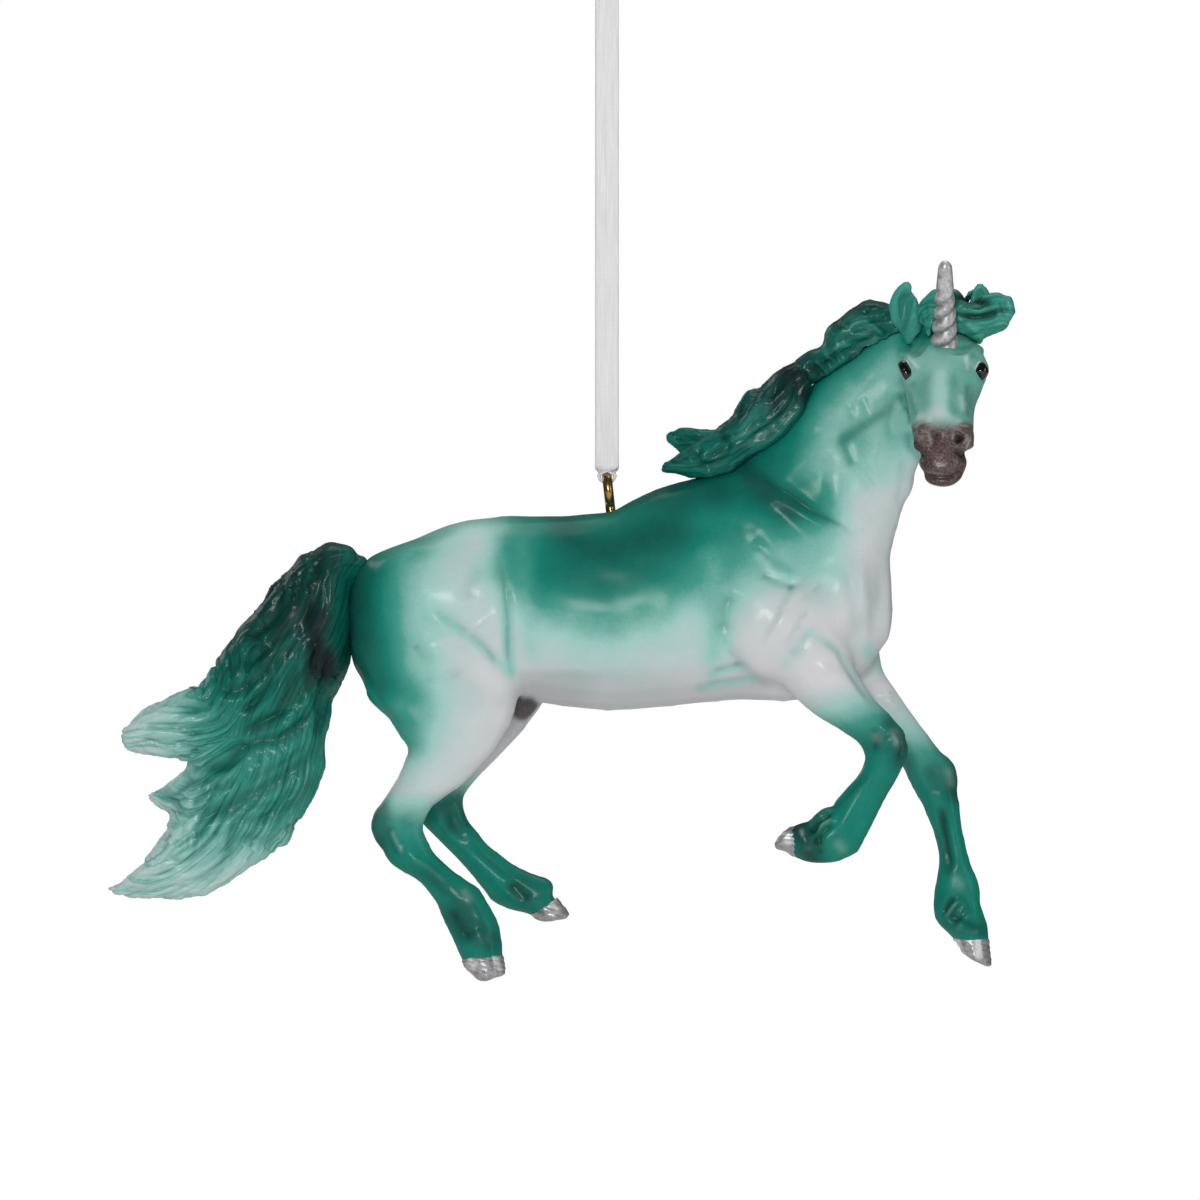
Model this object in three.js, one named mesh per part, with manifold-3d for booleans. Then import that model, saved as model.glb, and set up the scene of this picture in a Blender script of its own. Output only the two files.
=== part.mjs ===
// Unicorn tree ornament: a painted resin figure of a horse with a horn, hung from a brass screw eye
// on a loop of flat ribbon. Millimetres and degrees. +X is the chest, -Y the side that the face is
// turned to, +Z up. The origin is the hang point, inside the top of the ribbon loop.
import * as THREE from 'three';
import Module from 'manifold-3d';
import { mergeVertices } from 'three/addons/utils/BufferGeometryUtils.js';

// Ribbon loop
const ribbonWidth = 3.2;
const ribbonThick = 0.25;
const ribbonDrop = 76;
const runSpacing = 0.7;
const foldRise = 6;
const foldWidth = 1.15;
const foldThick = 0.45;
const knotWidth = 6.4;
const knotHeight = 4.2;
const knotDepth = 4;
const tailLength = 9;

// Screw eye
const wireDiameter = 1.3;
const ringOuter = 5.05;
const eyeReach = 4.44;
const eyeLean = 6.2;
const shankLength = 8;
const threadDiameter = 1.9;
const threadPitch = 0.9;

// Gaps: between castings glued face to face, round the pegs, round the screw, under the fold
const seam = 0.3;
const pegClearance = 0.3;
const shankClearance = 0.3;
const foldClearance = 0.2;

// Trunk, from the buttock to the chest
const trunkLength = 72.6;
const trunkDepth = 26.7;
const trunkWidth = 20;

// Limbs, from their root in the trunk to the coronet
const hindReach = 48.1;
const farHindReach = 41.6;
const foreReach = 31;
const farForeReach = 48.1;
const limbGirth = 1;
const hindTrack = 10;
const foreTrack = 10.6;

// Neck and head
const neckReach = 37;
const neckWidth = 13;
const headLength = 28;
const headWidth = 11;
const headPitch = 50;
const headYaw = 90;
const earHeight = 8.2;
const hornLength = 13.2;
const hornBase = 3.8;
const hornTip = 2;
const hornLean = 30;
const hornTurns = 3;
const eyeballDiameter = 2.4;

// Hair
const tailReach = 57.5;
const tailThick = 12;
const maneThick = 7;

// Pegs that locate the castings: neck, head, legs, tail, small pieces
const neckPeg = { diameter: 5, length: 5 };
const headPeg = { diameter: 3.6, length: 4 };
const legPeg = { diameter: 2.2, length: 3.4 };
const hoofPeg = { diameter: 1.6, length: 2 };
const tailPeg = { diameter: 3, length: 4 };
const hairPeg = { diameter: 2, length: 3 };
const hornPeg = { diameter: 1.6, length: 2.4 };
const earPeg = { diameter: 1.1, length: 1.8 };

// Facets
const trunkSides = 18;
const limbSides = 12;
const headSides = 16;
const hairSides = 10;
const wireSides = 8;

const wasm = await Module();
wasm.setup();
const degrees = Math.PI / 180;
const vec = (x, y, z) => new THREE.Vector3(x, y, z);

// Solids and geometry

function solid(geometry) {
  const bare = geometry.clone();
  bare.deleteAttribute('normal');
  bare.deleteAttribute('uv');
  const merged = mergeVertices(bare, 1e-4);
  const vertProperties = new Float32Array(merged.attributes.position.array);
  const triVerts = new Uint32Array(merged.index.array);
  return new wasm.Manifold(new wasm.Mesh({ numProp: 3, vertProperties, triVerts }));
}

function bodyGeometry(points, triangles) {
  const geometry = new THREE.BufferGeometry();
  geometry.setAttribute('position', new THREE.Float32BufferAttribute(points.flat(), 3));
  geometry.setIndex(signedVolume(points, triangles) < 0 ? flipped(triangles) : triangles.flat());
  return geometry;
}

function signedVolume(points, triangles) {
  let volume = 0;
  for (const [a, b, c] of triangles) {
    const cross = vec(...points[b]).cross(vec(...points[c]));
    volume += vec(...points[a]).dot(cross) / 6;
  }
  return volume;
}

function flipped(triangles) {
  return triangles.flatMap(([a, b, c]) => [a, c, b]);
}

// The largest connected piece of a solid: a cut can leave a sliver beside the piece it shapes
function largestBody(manifold) {
  const { vertProperties, triVerts } = manifold.getMesh();
  const parent = Array.from({ length: vertProperties.length / 3 }, (_, i) => i);
  const find = (i) => {
    while (parent[i] !== i) {
      parent[i] = parent[parent[i]];
      i = parent[i];
    }
    return i;
  };
  for (let t = 0; t < triVerts.length; t += 3) {
    parent[find(triVerts[t])] = find(triVerts[t + 1]);
    parent[find(triVerts[t + 1])] = find(triVerts[t + 2]);
  }
  const pieces = new Map();
  for (let t = 0; t < triVerts.length; t += 3) {
    const root = find(triVerts[t]);
    if (!pieces.has(root)) pieces.set(root, []);
    pieces.get(root).push(triVerts[t], triVerts[t + 1], triVerts[t + 2]);
  }
  const largest = [...pieces.values()].sort((a, b) => b.length - a.length)[0];
  const renumbered = new Map();
  const points = [];
  for (const corner of largest) {
    if (renumbered.has(corner)) continue;
    renumbered.set(corner, points.length / 3);
    points.push(...vertProperties.slice(corner * 3, corner * 3 + 3));
  }
  const geometry = new THREE.BufferGeometry();
  geometry.setAttribute('position', new THREE.Float32BufferAttribute(points, 3));
  geometry.setIndex(largest.map((corner) => renumbered.get(corner)));
  return geometry;
}

// Lofts: a station has a centre, an up and a side axis, and its reach to the top, bottom and sides

function blend(a, b, c, d, t) {
  const slope = (c - a) / 2;
  const nextSlope = (d - b) / 2;
  const t2 = t * t;
  const t3 = t2 * t;
  return (2 * t3 - 3 * t2 + 1) * b + (t3 - 2 * t2 + t) * slope
    + (3 * t2 - 2 * t3) * c + (t3 - t2) * nextSlope;
}

function blendStations(stations, steps) {
  const rings = [];
  const last = stations.length - 1;
  for (let i = 0; i < last; i += 1) {
    const near = [Math.max(i - 1, 0), i, i + 1, Math.min(i + 2, last)].map((n) => stations[n]);
    for (let step = 0; step < steps; step += 1) {
      const t = step / steps;
      const number = (key) => blend(...near.map((s) => s[key]), t);
      const vector = (key) => vec(...['x', 'y', 'z'].map((c) => blend(...near.map((s) => s[key][c]), t)));
      rings.push({
        centre: vector('centre'), up: vector('up').normalize(), side: vector('side').normalize(),
        top: number('top'), bottom: number('bottom'), half: number('half'),
      });
    }
  }
  rings.push(stations[last]);
  return rings;
}

// A dome of two smaller rings that closes a loft's end
function domeRings(ring, outward, length) {
  return [35, 65].map((angle) => {
    const share = Math.cos(angle * degrees);
    return {
      ...ring,
      centre: ring.centre.clone().addScaledVector(outward, length * Math.sin(angle * degrees)),
      top: ring.top * share, bottom: ring.bottom * share, half: ring.half * share,
    };
  });
}

function ringPoint(ring, angle) {
  const rise = Math.cos(angle);
  const height = rise > 0 ? ring.top * rise : ring.bottom * rise;
  return ring.centre.clone().addScaledVector(ring.up, height)
    .addScaledVector(ring.side, ring.half * Math.sin(angle)).toArray();
}

function loft(stations, { sides, steps = 2, domes = [0, 0] }) {
  const rings = blendStations(stations, steps);
  const startOut = rings[0].centre.clone().sub(rings[1].centre).normalize();
  const endOut = rings.at(-1).centre.clone().sub(rings.at(-2).centre).normalize();
  const startTip = rings[0].centre.clone().addScaledVector(startOut, domes[0]);
  const endTip = rings.at(-1).centre.clone().addScaledVector(endOut, domes[1]);
  if (domes[0] > 0) rings.unshift(...domeRings(rings[0], startOut, domes[0]).reverse());
  if (domes[1] > 0) rings.push(...domeRings(rings.at(-1), endOut, domes[1]));
  const points = rings.flatMap((ring) => Array.from({ length: sides },
    (_, k) => ringPoint(ring, 2 * Math.PI * k / sides)));
  return closedRings(points, rings.length, sides, startTip.toArray(), endTip.toArray());
}

function closedRings(ringPoints, ringCount, sides, startTip, endTip) {
  const points = [...ringPoints, startTip, endTip];
  const start = points.length - 2;
  const end = points.length - 1;
  const triangles = [];
  for (let k = 0; k < sides; k += 1) {
    const next = (k + 1) % sides;
    for (let r = 0; r < ringCount - 1; r += 1) {
      const [a, b] = [r * sides + k, r * sides + next];
      triangles.push([a, b, b + sides], [a, b + sides, a + sides]);
    }
    const lastRing = (ringCount - 1) * sides;
    triangles.push([start, next, k], [end, lastRing + k, lastRing + next]);
  }
  return bodyGeometry(points, triangles);
}

// A round body on the Z axis whose radius is a function of its height and of the angle
function turnedBody(length, rings, sides, radiusAt) {
  const points = [];
  for (let r = 0; r <= rings; r += 1) {
    const z = length * r / rings;
    for (let k = 0; k < sides; k += 1) {
      const angle = 2 * Math.PI * k / sides;
      const radius = radiusAt(z, angle);
      points.push([radius * Math.cos(angle), radius * Math.sin(angle), z]);
    }
  }
  return closedRings(points, rings + 1, sides, [0, 0, 0], [0, 0, length]);
}

// Stations from pairs of outline points: the two ends of each section, and half its width
function pairStations(pairs, grow = 0) {
  const centres = pairs.map(({ from, to }) => from.clone().add(to).multiplyScalar(0.5));
  return pairs.map(({ from, to, half }, i) => {
    const ahead = centres[Math.min(i + 1, centres.length - 1)];
    const behind = centres[Math.max(i - 1, 0)];
    const forward = ahead.clone().sub(behind).normalize();
    const up = from.clone().sub(to);
    const reach = up.length() / 2 + grow;
    up.normalize();
    const side = up.clone().cross(forward).normalize();
    return { centre: centres[i], up, side, top: reach, bottom: reach, half: half + grow };
  });
}

// Moves a drawn point when the reach of its limb, neck or tail changes: the root stays
function stretched(point, root, share) {
  return root.clone().addScaledVector(point.clone().sub(root), share);
}

// A box whose face lies on a cutting plane, with the box on the side that the normal points to
function cutter(point, normal, across, size, back = 0) {
  const geometry = new THREE.BoxGeometry(size.across, size.along, size.deep);
  geometry.translate(0, 0, size.deep / 2 - back);
  const z = normal.clone().normalize();
  const x = across.clone().addScaledVector(z, -across.dot(z)).normalize();
  const basis = new THREE.Matrix4().makeBasis(x, z.clone().cross(x), z);
  geometry.applyMatrix4(basis.setPosition(point));
  return solid(geometry);
}

// A peg from a point along a direction; grow widens and lengthens it into its socket
function rod(point, direction, { diameter, length }, grow = 0, sink = 1) {
  const tall = length + grow + sink;
  const geometry = new THREE.CylinderGeometry(diameter / 2 + grow, diameter / 2 + grow, tall, 12);
  geometry.rotateX(Math.PI / 2);
  geometry.translate(0, 0, tall / 2 - sink);
  const turn = new THREE.Quaternion().setFromUnitVectors(vec(0, 0, 1), direction.clone().normalize());
  geometry.applyQuaternion(turn);
  geometry.translate(point.x, point.y, point.z);
  return solid(geometry);
}

function ellipsoid(centre, radii, tilt, grow) {
  const geometry = new THREE.SphereGeometry(1, 12, 8);
  geometry.scale(radii[0] + grow, radii[1] + grow, radii[2] + grow);
  geometry.rotateY(tilt * degrees);
  geometry.translate(centre.x, centre.y, centre.z);
  return solid(geometry);
}

// Trunk. The profile is drawn from the hole of the screw eye, at these sizes
const drawnTrunk = { length: 72.6, depth: 26.7, width: 20 };
const alongTrunk = trunkLength / drawnTrunk.length;
const downTrunk = trunkDepth / drawnTrunk.depth;
const acrossTrunk = trunkWidth / drawnTrunk.width;
const onTrunk = (x, z) => vec(x * alongTrunk, 0, z * downTrunk);

// x, back, belly, half width, height of the widest part
const trunkProfile = [
  [-34, -8.2, -21.4, 6, -13.5],
  [-31.6, -5.9, -25.2, 8.9, -14],
  [-26.8, -4.1, -26, 11.2, -13],
  [-20.8, -1.7, -25.6, 11.8, -12.5],
  [-14.8, -0.8, -25.1, 10.9, -13],
  [-8, -0.8, -26, 9.8, -14.5],
  [-0.8, -0.1, -26.8, 10, -15.5],
  [5.2, 2, -26.5, 9.9, -15.5],
  [11.2, 4.2, -25.9, 9.2, -15],
  [17.2, 5.6, -25.4, 8.2, -14],
  [23.2, 4.6, -25.6, 7.6, -13.5],
  [29, 1, -24.8, 6.8, -13],
  [33.6, -3.6, -22.2, 5.4, -13],
  [36.2, -7.6, -18.4, 3.4, -13],
];

function trunkLoft(grow) {
  const stations = trunkProfile.map(([x, back, belly, half, widest]) => ({
    centre: onTrunk(x, widest), up: vec(0, 0, 1), side: vec(0, 1, 0),
    top: (back - widest) * downTrunk + grow, bottom: (widest - belly) * downTrunk + grow,
    half: half * acrossTrunk + grow,
  }));
  return solid(loft(stations, { sides: trunkSides, domes: [1 + grow, 1.4 + grow] }));
}

// Limbs: each row is the front and the back of a section, its distance from the middle plane as a
// share of the half track, and half its width
const limbs = {
  right_hindleg: {
    reach: hindReach, track: -hindTrack / 2, cutRow: 4,
    rows: [
      [-15, -12, -28, -10.6, 1.05, 4.8],
      [-11, -18.6, -35, -17.2, 1.08, 5.1],
      [-11.8, -24.2, -32.8, -24, 1.04, 4.2],
      [-13, -28.3, -29.6, -28.3, 1, 3.6],
      [-15.6, -32.4, -27.2, -31.8, 0.96, 3],
      [-19.3, -36.4, -28.4, -35.6, 0.92, 2.6],
      [-23.8, -39.6, -31, -39, 0.9, 2.4],
      [-25, -42.4, -32, -42.4, 0.88, 2.3],
      [-23.4, -45.8, -29.6, -47, 0.86, 2.1],
      [-20.7, -48.2, -25, -50.3, 0.85, 1.9],
      [-17.2, -50.6, -23.2, -52.4, 0.84, 2.3],
      [-16, -53.8, -22.3, -54.7, 0.84, 2.4],
      [-14.8, -56.8, -21, -57.3, 0.84, 2.7],
      [-14.2, -58.9, -20.1, -59.5, 0.84, 2.8],
    ],
    sole: { front: [-13.9, -62], back: [-18.8, -62.5], half: 2.7 },
  },
  left_hindleg: {
    reach: farHindReach, track: hindTrack / 2, cutRow: 3,
    rows: [
      [-12, -13, -26, -11.6, 1.05, 4.8],
      [-8.2, -20, -29, -17.4, 1.08, 5],
      [-8.6, -25.6, -25.6, -24, 1.02, 4],
      [-11.8, -29.8, -23.4, -27.6, 0.98, 3.3],
      [-15, -33.2, -24.4, -30.8, 0.94, 2.8],
      [-17.7, -35.9, -25.9, -34.4, 0.9, 2.5],
      [-19.7, -38.4, -26.7, -37.8, 0.88, 2.4],
      [-19.2, -41.2, -25.4, -41.8, 0.86, 2.2],
      [-16.4, -44.7, -20.4, -46.8, 0.84, 1.9],
      [-12.9, -47.4, -17.8, -49.8, 0.83, 2.1],
      [-9.6, -49, -15.8, -52.5, 0.82, 2.4],
      [-7.8, -50.2, -13.2, -53.6, 0.82, 2.6],
      [-7.2, -51.5, -11, -54, 0.82, 2.5],
    ],
    sole: { front: [-5.7, -53.9], back: [-9.4, -54.9], half: 2.4 },
  },
  right_foreleg: {
    reach: foreReach, track: -foreTrack / 2, cutRow: 3,
    rows: [
      [30.3, -11.8, 18.6, -14.4, 1, 3.9],
      [31.4, -17, 20, -20, 1.04, 3.9],
      [32.7, -21.4, 23.8, -24.6, 1.06, 3.5],
      [35.1, -25.2, 27.2, -27.6, 1.08, 3],
      [37.3, -27.4, 30.8, -29.7, 1.1, 2.7],
      [39.3, -29.7, 33.3, -31.4, 1.1, 2.5],
      [40, -32.4, 34, -33.4, 1.1, 2.5],
      [38.7, -35.4, 33.2, -35.7, 1.08, 2.2],
      [36.6, -39.1, 31.6, -37.8, 1.06, 1.9],
      [34.8, -42.8, 29, -39.8, 1.06, 2],
      [33, -46.2, 27.4, -41, 1.06, 2.3],
      [30, -47.5, 26, -42, 1.06, 2.3],
      [26.8, -47.6, 25.4, -42.1, 1.06, 2.3],
      [25, -46.8, 25.1, -42.2, 1.06, 2.2],
    ],
    sole: { front: [22.4, -45], back: [23.6, -42.7], half: 2.1 },
  },
  left_foreleg: {
    reach: farForeReach, track: foreTrack / 2, cutRow: 3,
    rows: [
      [34, -10.8, 23.6, -14.8, 0.9, 3.8],
      [35.8, -17, 26.6, -21.4, 0.94, 3.7],
      [36.4, -21.4, 30, -25, 0.96, 3.3],
      [38.6, -24.7, 33.7, -28.2, 0.96, 2.9],
      [40.7, -27.7, 36.8, -31.3, 0.96, 2.7],
      [43.2, -31, 39, -34.4, 0.94, 2.5],
      [45.8, -34.5, 40.1, -36.8, 0.92, 2.4],
      [46.5, -38.3, 41.6, -39.4, 0.9, 2],
      [47, -42.4, 43.1, -43, 0.88, 1.8],
      [47.8, -46.1, 43.9, -46.6, 0.86, 1.9],
      [48.8, -49.4, 43.2, -50.6, 0.86, 2.2],
      [49.3, -52.4, 42.9, -53, 0.86, 2.3],
      [50.3, -54.8, 43.4, -55, 0.86, 2.6],
      [50.7, -56.9, 45.3, -56.8, 0.86, 2.6],
    ],
    sole: { front: [50.7, -60.7], back: [46.6, -58.8], half: 2.5 },
  },
};

const middleOf = ([frontX, frontZ, backX, backZ]) => onTrunk((frontX + backX) / 2, (frontZ + backZ) / 2);

// The sections of a limb with its own reach, girth and track
function limbPairs({ reach, track, rows, sole }) {
  const root = middleOf(rows[0]);
  const last = rows.at(-1);
  const drawnReach = middleOf(last).distanceTo(root);
  const share = reach / drawnReach;
  const sections = [...rows, [...sole.front, ...sole.back, last[4], sole.half]];
  return sections.map((row) => {
    const middle = stretched(middleOf(row), root, share);
    middle.y = track * row[4];
    const across = vec((row[0] - row[2]) / 2, 0, (row[1] - row[3]) / 2).multiplyScalar(limbGirth);
    return { from: middle.clone().add(across), to: middle.clone().sub(across), half: row[5] * limbGirth };
  });
}

for (const limb of Object.values(limbs)) {
  const pairs = limbPairs(limb);
  limb.sole3 = pairs.pop();
  limb.pairs = pairs;
  limb.stations = pairStations(pairs);
}

function limbLoft(limb, grow) {
  return solid(loft(pairStations(limb.pairs, grow), { sides: limbSides, steps: 1, domes: [2, 0] }));
}

// Neck: crest, throat, and half the width, as a share of the width at its base
const neckRows = [
  [14, 0, 3.4, 34.8, 0, -18, 0.92],
  [17, 0, 6.2, 37.6, 0, -12, 1],
  [20.2, 0, 9.2, 37.3, 0, -6.6, 0.94],
  [24.4, 0.2, 14, 38.4, 0, -2, 0.84],
  [27.8, 0.3, 17.8, 39.6, 0.2, 2.4, 0.76],
  [32, 0, 21.2, 41.2, 0.6, 6.2, 0.7],
  [36.4, -1, 23.8, 43.2, 0.8, 9.6, 0.66],
  [40.4, -2.8, 25.4, 44.4, 0.4, 12.2, 0.62],
  [43.4, -5, 25.8, 44.8, -0.8, 13.6, 0.58],
];
const drawnNeckReach = 37;
const neckRoot = onTrunk(24.4, -7.3);
const neckShare = neckReach / drawnNeckReach;
const onNeck = (x, y, z) => stretched(onTrunk(x, z).setY(y), neckRoot, neckShare);
const neckPairs = neckRows.map(([crestX, crestY, crestZ, throatX, throatY, throatZ, half]) => ({
  from: onNeck(crestX, crestY, crestZ), to: onNeck(throatX, throatY, throatZ), half: half * neckWidth / 2,
}));
const neckStations = pairStations(neckPairs);

function neckLoft(grow) {
  return solid(loft(pairStations(neckPairs, grow), { sides: trunkSides, domes: [0, 1 + grow] }));
}

// Head: its own axes run down the face, out of the forehead and across to the left ear
const poll = onNeck(44.3, -5, 25.3);
const facing = vec(Math.cos(headYaw * degrees), -Math.sin(headYaw * degrees), 0);
const faceAxis = facing.clone().multiplyScalar(Math.sin(headPitch * degrees))
  .add(vec(0, 0, -Math.cos(headPitch * degrees)));
const browAxis = facing.clone().multiplyScalar(Math.cos(headPitch * degrees))
  .add(vec(0, 0, Math.sin(headPitch * degrees)));
const earAxis = browAxis.clone().cross(faceAxis);
const headShare = headLength / 28;
const headBreadth = headWidth / 11;
const onHead = (down, out, across = 0) => poll.clone().addScaledVector(faceAxis, down * headShare)
  .addScaledVector(browAxis, out * headShare).addScaledVector(earAxis, across * headBreadth);

// Down the face, forehead line, jaw line, half width, line of the widest part
const headProfile = [
  [-1, -1.2, -8.6, 3.4, -4],
  [1.5, 0.2, -12, 4.5, -4.5],
  [5, 1, -13.2, 5.4, -4.2],
  [8, 1.2, -13, 5.5, -3.4],
  [11.5, 0.8, -11.2, 4.9, -3.8],
  [15, 0.2, -9.2, 4.4, -4],
  [18.5, -0.3, -7.9, 4.1, -3.7],
  [21.5, -0.4, -7.3, 4.1, -3.3],
  [24, -0.9, -7.1, 3.5, -3.6],
  [26, -2.1, -6.6, 3, -4.4],
  [27, -3.4, -5.8, 2.2, -4.8],
];

function headLoft(grow) {
  const stations = headProfile.map(([down, brow, jaw, half, widest]) => ({
    centre: onHead(down, widest), up: browAxis, side: earAxis,
    top: (brow - widest) * headShare + grow, bottom: (widest - jaw) * headShare + grow,
    half: half * headBreadth + grow,
  }));
  return solid(loft(stations, { sides: headSides, steps: 1, domes: [0.8 + grow, 0.6 + grow] }));
}

// Muscle and bone that stand out of the lofts, mirrored to both sides: centre, radii, tilt
const masses = [
  { centre: [21, 5.4, -15.2], radii: [7.4, 4.2, 8], tilt: -20 },
  { centre: [30.6, 3.2, -11.6], radii: [5.2, 4.2, 7.6], tilt: 10 },
  { centre: [21.6, 3.4, -5], radii: [4.2, 4, 8.6], tilt: -40 },
  { centre: [-23.4, 5.6, -13.4], radii: [10.2, 5.6, 9.4], tilt: 15 },
  { centre: [-17, 5.6, -21], radii: [5.4, 4.2, 6.6], tilt: -20 },
];

function hideSolid(grow) {
  const parts = [neckLoft(grow), headLoft(grow), ...Object.values(limbs).map((limb) => limbLoft(limb, grow))];
  for (const { centre: [x, y, z], radii, tilt } of masses) {
    for (const side of [-1, 1]) {
      const centre = onTrunk(x, z).setY(side * y * acrossTrunk);
      parts.push(ellipsoid(centre, radii, tilt, grow));
    }
  }
  for (const side of [-1, 1]) {
    parts.push(ellipsoid(onHead(7.6, -2.4, side * 4.3), [1.9, 1.9, 1.9], 0, grow));
    parts.push(ellipsoid(onHead(22.6, -2.6, side * 2.7), [1.5, 1.9, 1.9], 0, grow));
  }
  return parts.reduce((whole, part) => whole.add(part), trunkLoft(grow));
}

const hide = hideSolid(0);
const hideClear = hideSolid(seam);

// Where the castings part: the head at the throat latch, the neck on the shoulder crease, each leg
// at a row of its limb
function jointAt(stations, index, towards) {
  const here = stations[index];
  const normal = here.up.clone().cross(here.side).normalize();
  if (normal.dot(stations[index + towards].centre.clone().sub(here.centre)) < 0) normal.negate();
  return { point: here.centre, normal, across: here.side };
}

const headJoint = jointAt(neckStations, 7, 1);
const neckJoint = jointAt(neckStations, 1, 1);
const headBlock = { across: 50, along: 70, deep: 50 };
const neckBlock = { across: 60, along: 90, deep: 60 };
const legBlock = { across: 11, along: 26, deep: 44 };

for (const limb of Object.values(limbs)) limb.joint = jointAt(limb.stations, limb.cutRow, 1);

function cutBlock({ point, normal, across }, size, back = 0) {
  return cutter(point, normal, across, size, back);
}

const headCut = (back) => cutBlock(headJoint, headBlock, back);
const neckCut = (back) => cutBlock(neckJoint, neckBlock, back);
const pegOf = (joint, peg, grow = 0) => rod(joint.point, joint.normal.clone().negate(), peg, grow);

// The hole and the direction of the screw eye, in the frame of the figure
const eyeHole = vec(0, 0, 0);
const eyeAxis = vec(-Math.sin(eyeLean * degrees), 0, Math.cos(eyeLean * degrees));
const shankHole = rod(eyeHole, eyeAxis.clone().negate(),
  { diameter: threadDiameter, length: shankLength }, shankClearance, 4);

// Horn, ears and eyeballs sit in the head
const hornAxis = facing.clone().multiplyScalar(Math.sin(hornLean * degrees))
  .add(vec(0, 0, Math.cos(hornLean * degrees)));
const hornFoot = onHead(5.4, 0.2);

function placeAlong(geometry, point, axis) {
  geometry.applyQuaternion(new THREE.Quaternion().setFromUnitVectors(vec(0, 0, 1), axis));
  geometry.translate(point.x, point.y, point.z);
  return geometry;
}

// A tapered cone with a helical ridge that fades towards the smooth round tip
function hornSolid(grow) {
  const sunk = 1.6;
  const length = hornLength + sunk;
  const radiusAt = (z, angle) => {
    const share = z / length;
    const cone = THREE.MathUtils.lerp(hornBase, hornTip, share) / 2;
    const ridge = 0.5 + 0.5 * Math.cos(angle + 2 * Math.PI * hornTurns * share);
    const groove = 0.24 * (1 - ridge) * THREE.MathUtils.clamp((0.8 - share) * 4, 0, 1);
    const round = share > 0.93 ? Math.sqrt(Math.max(1 - ((share - 0.93) / 0.075) ** 2, 0.1)) : 1;
    return (cone - groove) * round + grow;
  };
  const geometry = turnedBody(length, 24, 10, radiusAt);
  return solid(placeAlong(geometry, hornFoot.clone().addScaledVector(hornAxis, -sunk), hornAxis));
}

// A leaf-shaped ear with a hollow front: height share, half breadth, thickness
const earRows = [
  [-0.12, 1.3, 1.1],
  [0.1, 1.6, 1.2],
  [0.32, 1.95, 1.1],
  [0.56, 1.85, 0.9],
  [0.78, 1.3, 0.7],
  [0.94, 0.6, 0.45],
];

function earSolid(side, grow) {
  const foot = onHead(1.6, -1.6, side * 4.1);
  const tip = foot.clone().addScaledVector(vec(side * 0.12, -0.16, 1).normalize(), earHeight);
  const rise = tip.clone().sub(foot);
  const outward = vec(side, 0.35, 0).normalize();
  const thin = rise.clone().cross(outward).normalize();
  const stations = earRows.map(([share, half, thick]) => ({
    centre: foot.clone().addScaledVector(rise, share).addScaledVector(outward, 0.5 * Math.sin(share * Math.PI)),
    up: outward, side: thin, top: half + grow, bottom: half + grow, half: thick + grow,
  }));
  const leaf = solid(loft(stations, { sides: hairSides, steps: 1, domes: [0, 0.6] }));
  if (grow > 0) return leaf;
  const mouth = foot.clone().addScaledVector(rise, 0.5).add(vec(side * 0.4, -1.15, 0));
  return leaf.subtract(ellipsoid(mouth, [1.05, 0.9, earHeight * 0.34], 0, 0));
}

const eyeballAt = (side) => onHead(8.6, -1.5, side * 4.9);

// Hair: each lock is a loft through pairs of edge points with half its thickness
function lockSolid(rows, place, thickness, { grow = 0, domes = [0.6, 0.6], steps = 1 } = {}) {
  const pairs = rows.map(([topX, topZ, bottomX, bottomZ, y, share]) => ({
    from: place(topX, y, topZ), to: place(bottomX, y, bottomZ), half: share * thickness / 2,
  }));
  return solid(loft(pairStations(pairs, grow), { sides: hairSides, steps, domes }));
}

// Rows of hair: upper edge x, z, lower edge x, z, distance from the middle plane, share of thickness
const maneUpperLocks = [
  [
    [41.6, 26.6, 41.6, 22.4, -3.2, 0.5],
    [38, 27.4, 38.4, 21.9, -1.4, 0.8],
    [34.4, 28.1, 34.6, 20.9, -0.6, 1],
    [30.6, 26.6, 30.9, 19, -0.4, 1],
    [27.8, 23, 28.6, 17.6, -0.4, 0.86],
    [25, 20, 26.2, 15.8, -0.4, 0.7],
  ],
  [
    [38, 26, 38.6, 18.6, 3.2, 0.4],
    [34, 26, 34.8, 14, 5, 0.5],
    [30, 22, 31, 10, 6, 0.46],
    [27, 16, 27.6, 8, 6.4, 0.3],
  ],
];
const maneLowerLocks = [
  [
    [24.4, 20, 27, 15.8, -0.8, 0.8],
    [21.4, 18, 25.6, 12.6, -1.2, 1],
    [18.2, 15.6, 23, 9.4, -1.4, 1],
    [15.7, 12.2, 19.6, 7.2, -1.2, 0.9],
    [13, 10, 16, 5, -1, 0.76],
    [10, 8.2, 11.4, 3.9, -1, 0.6],
    [7.2, 6.3, 8.2, 4.9, -1.2, 0.34],
  ],
  [
    [26, 17, 28.6, 8, 5.8, 0.4],
    [22, 13.6, 25, 3.6, 7, 0.5],
    [18, 9.6, 20, 0.8, 7.8, 0.4],
    [14.4, 5, 15.4, 0.2, 8, 0.24],
  ],
];
const maneWingLocks = [
  [
    [15.6, 10.8, 14, 7, 1.6, 0.5],
    [12.4, 10.8, 11.6, 7, 2.2, 0.42],
    [9.8, 10.9, 9.4, 7.4, 2.6, 0.34],
    [7.8, 10.4, 8, 8.7, 2.8, 0.2],
  ],
];
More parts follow.
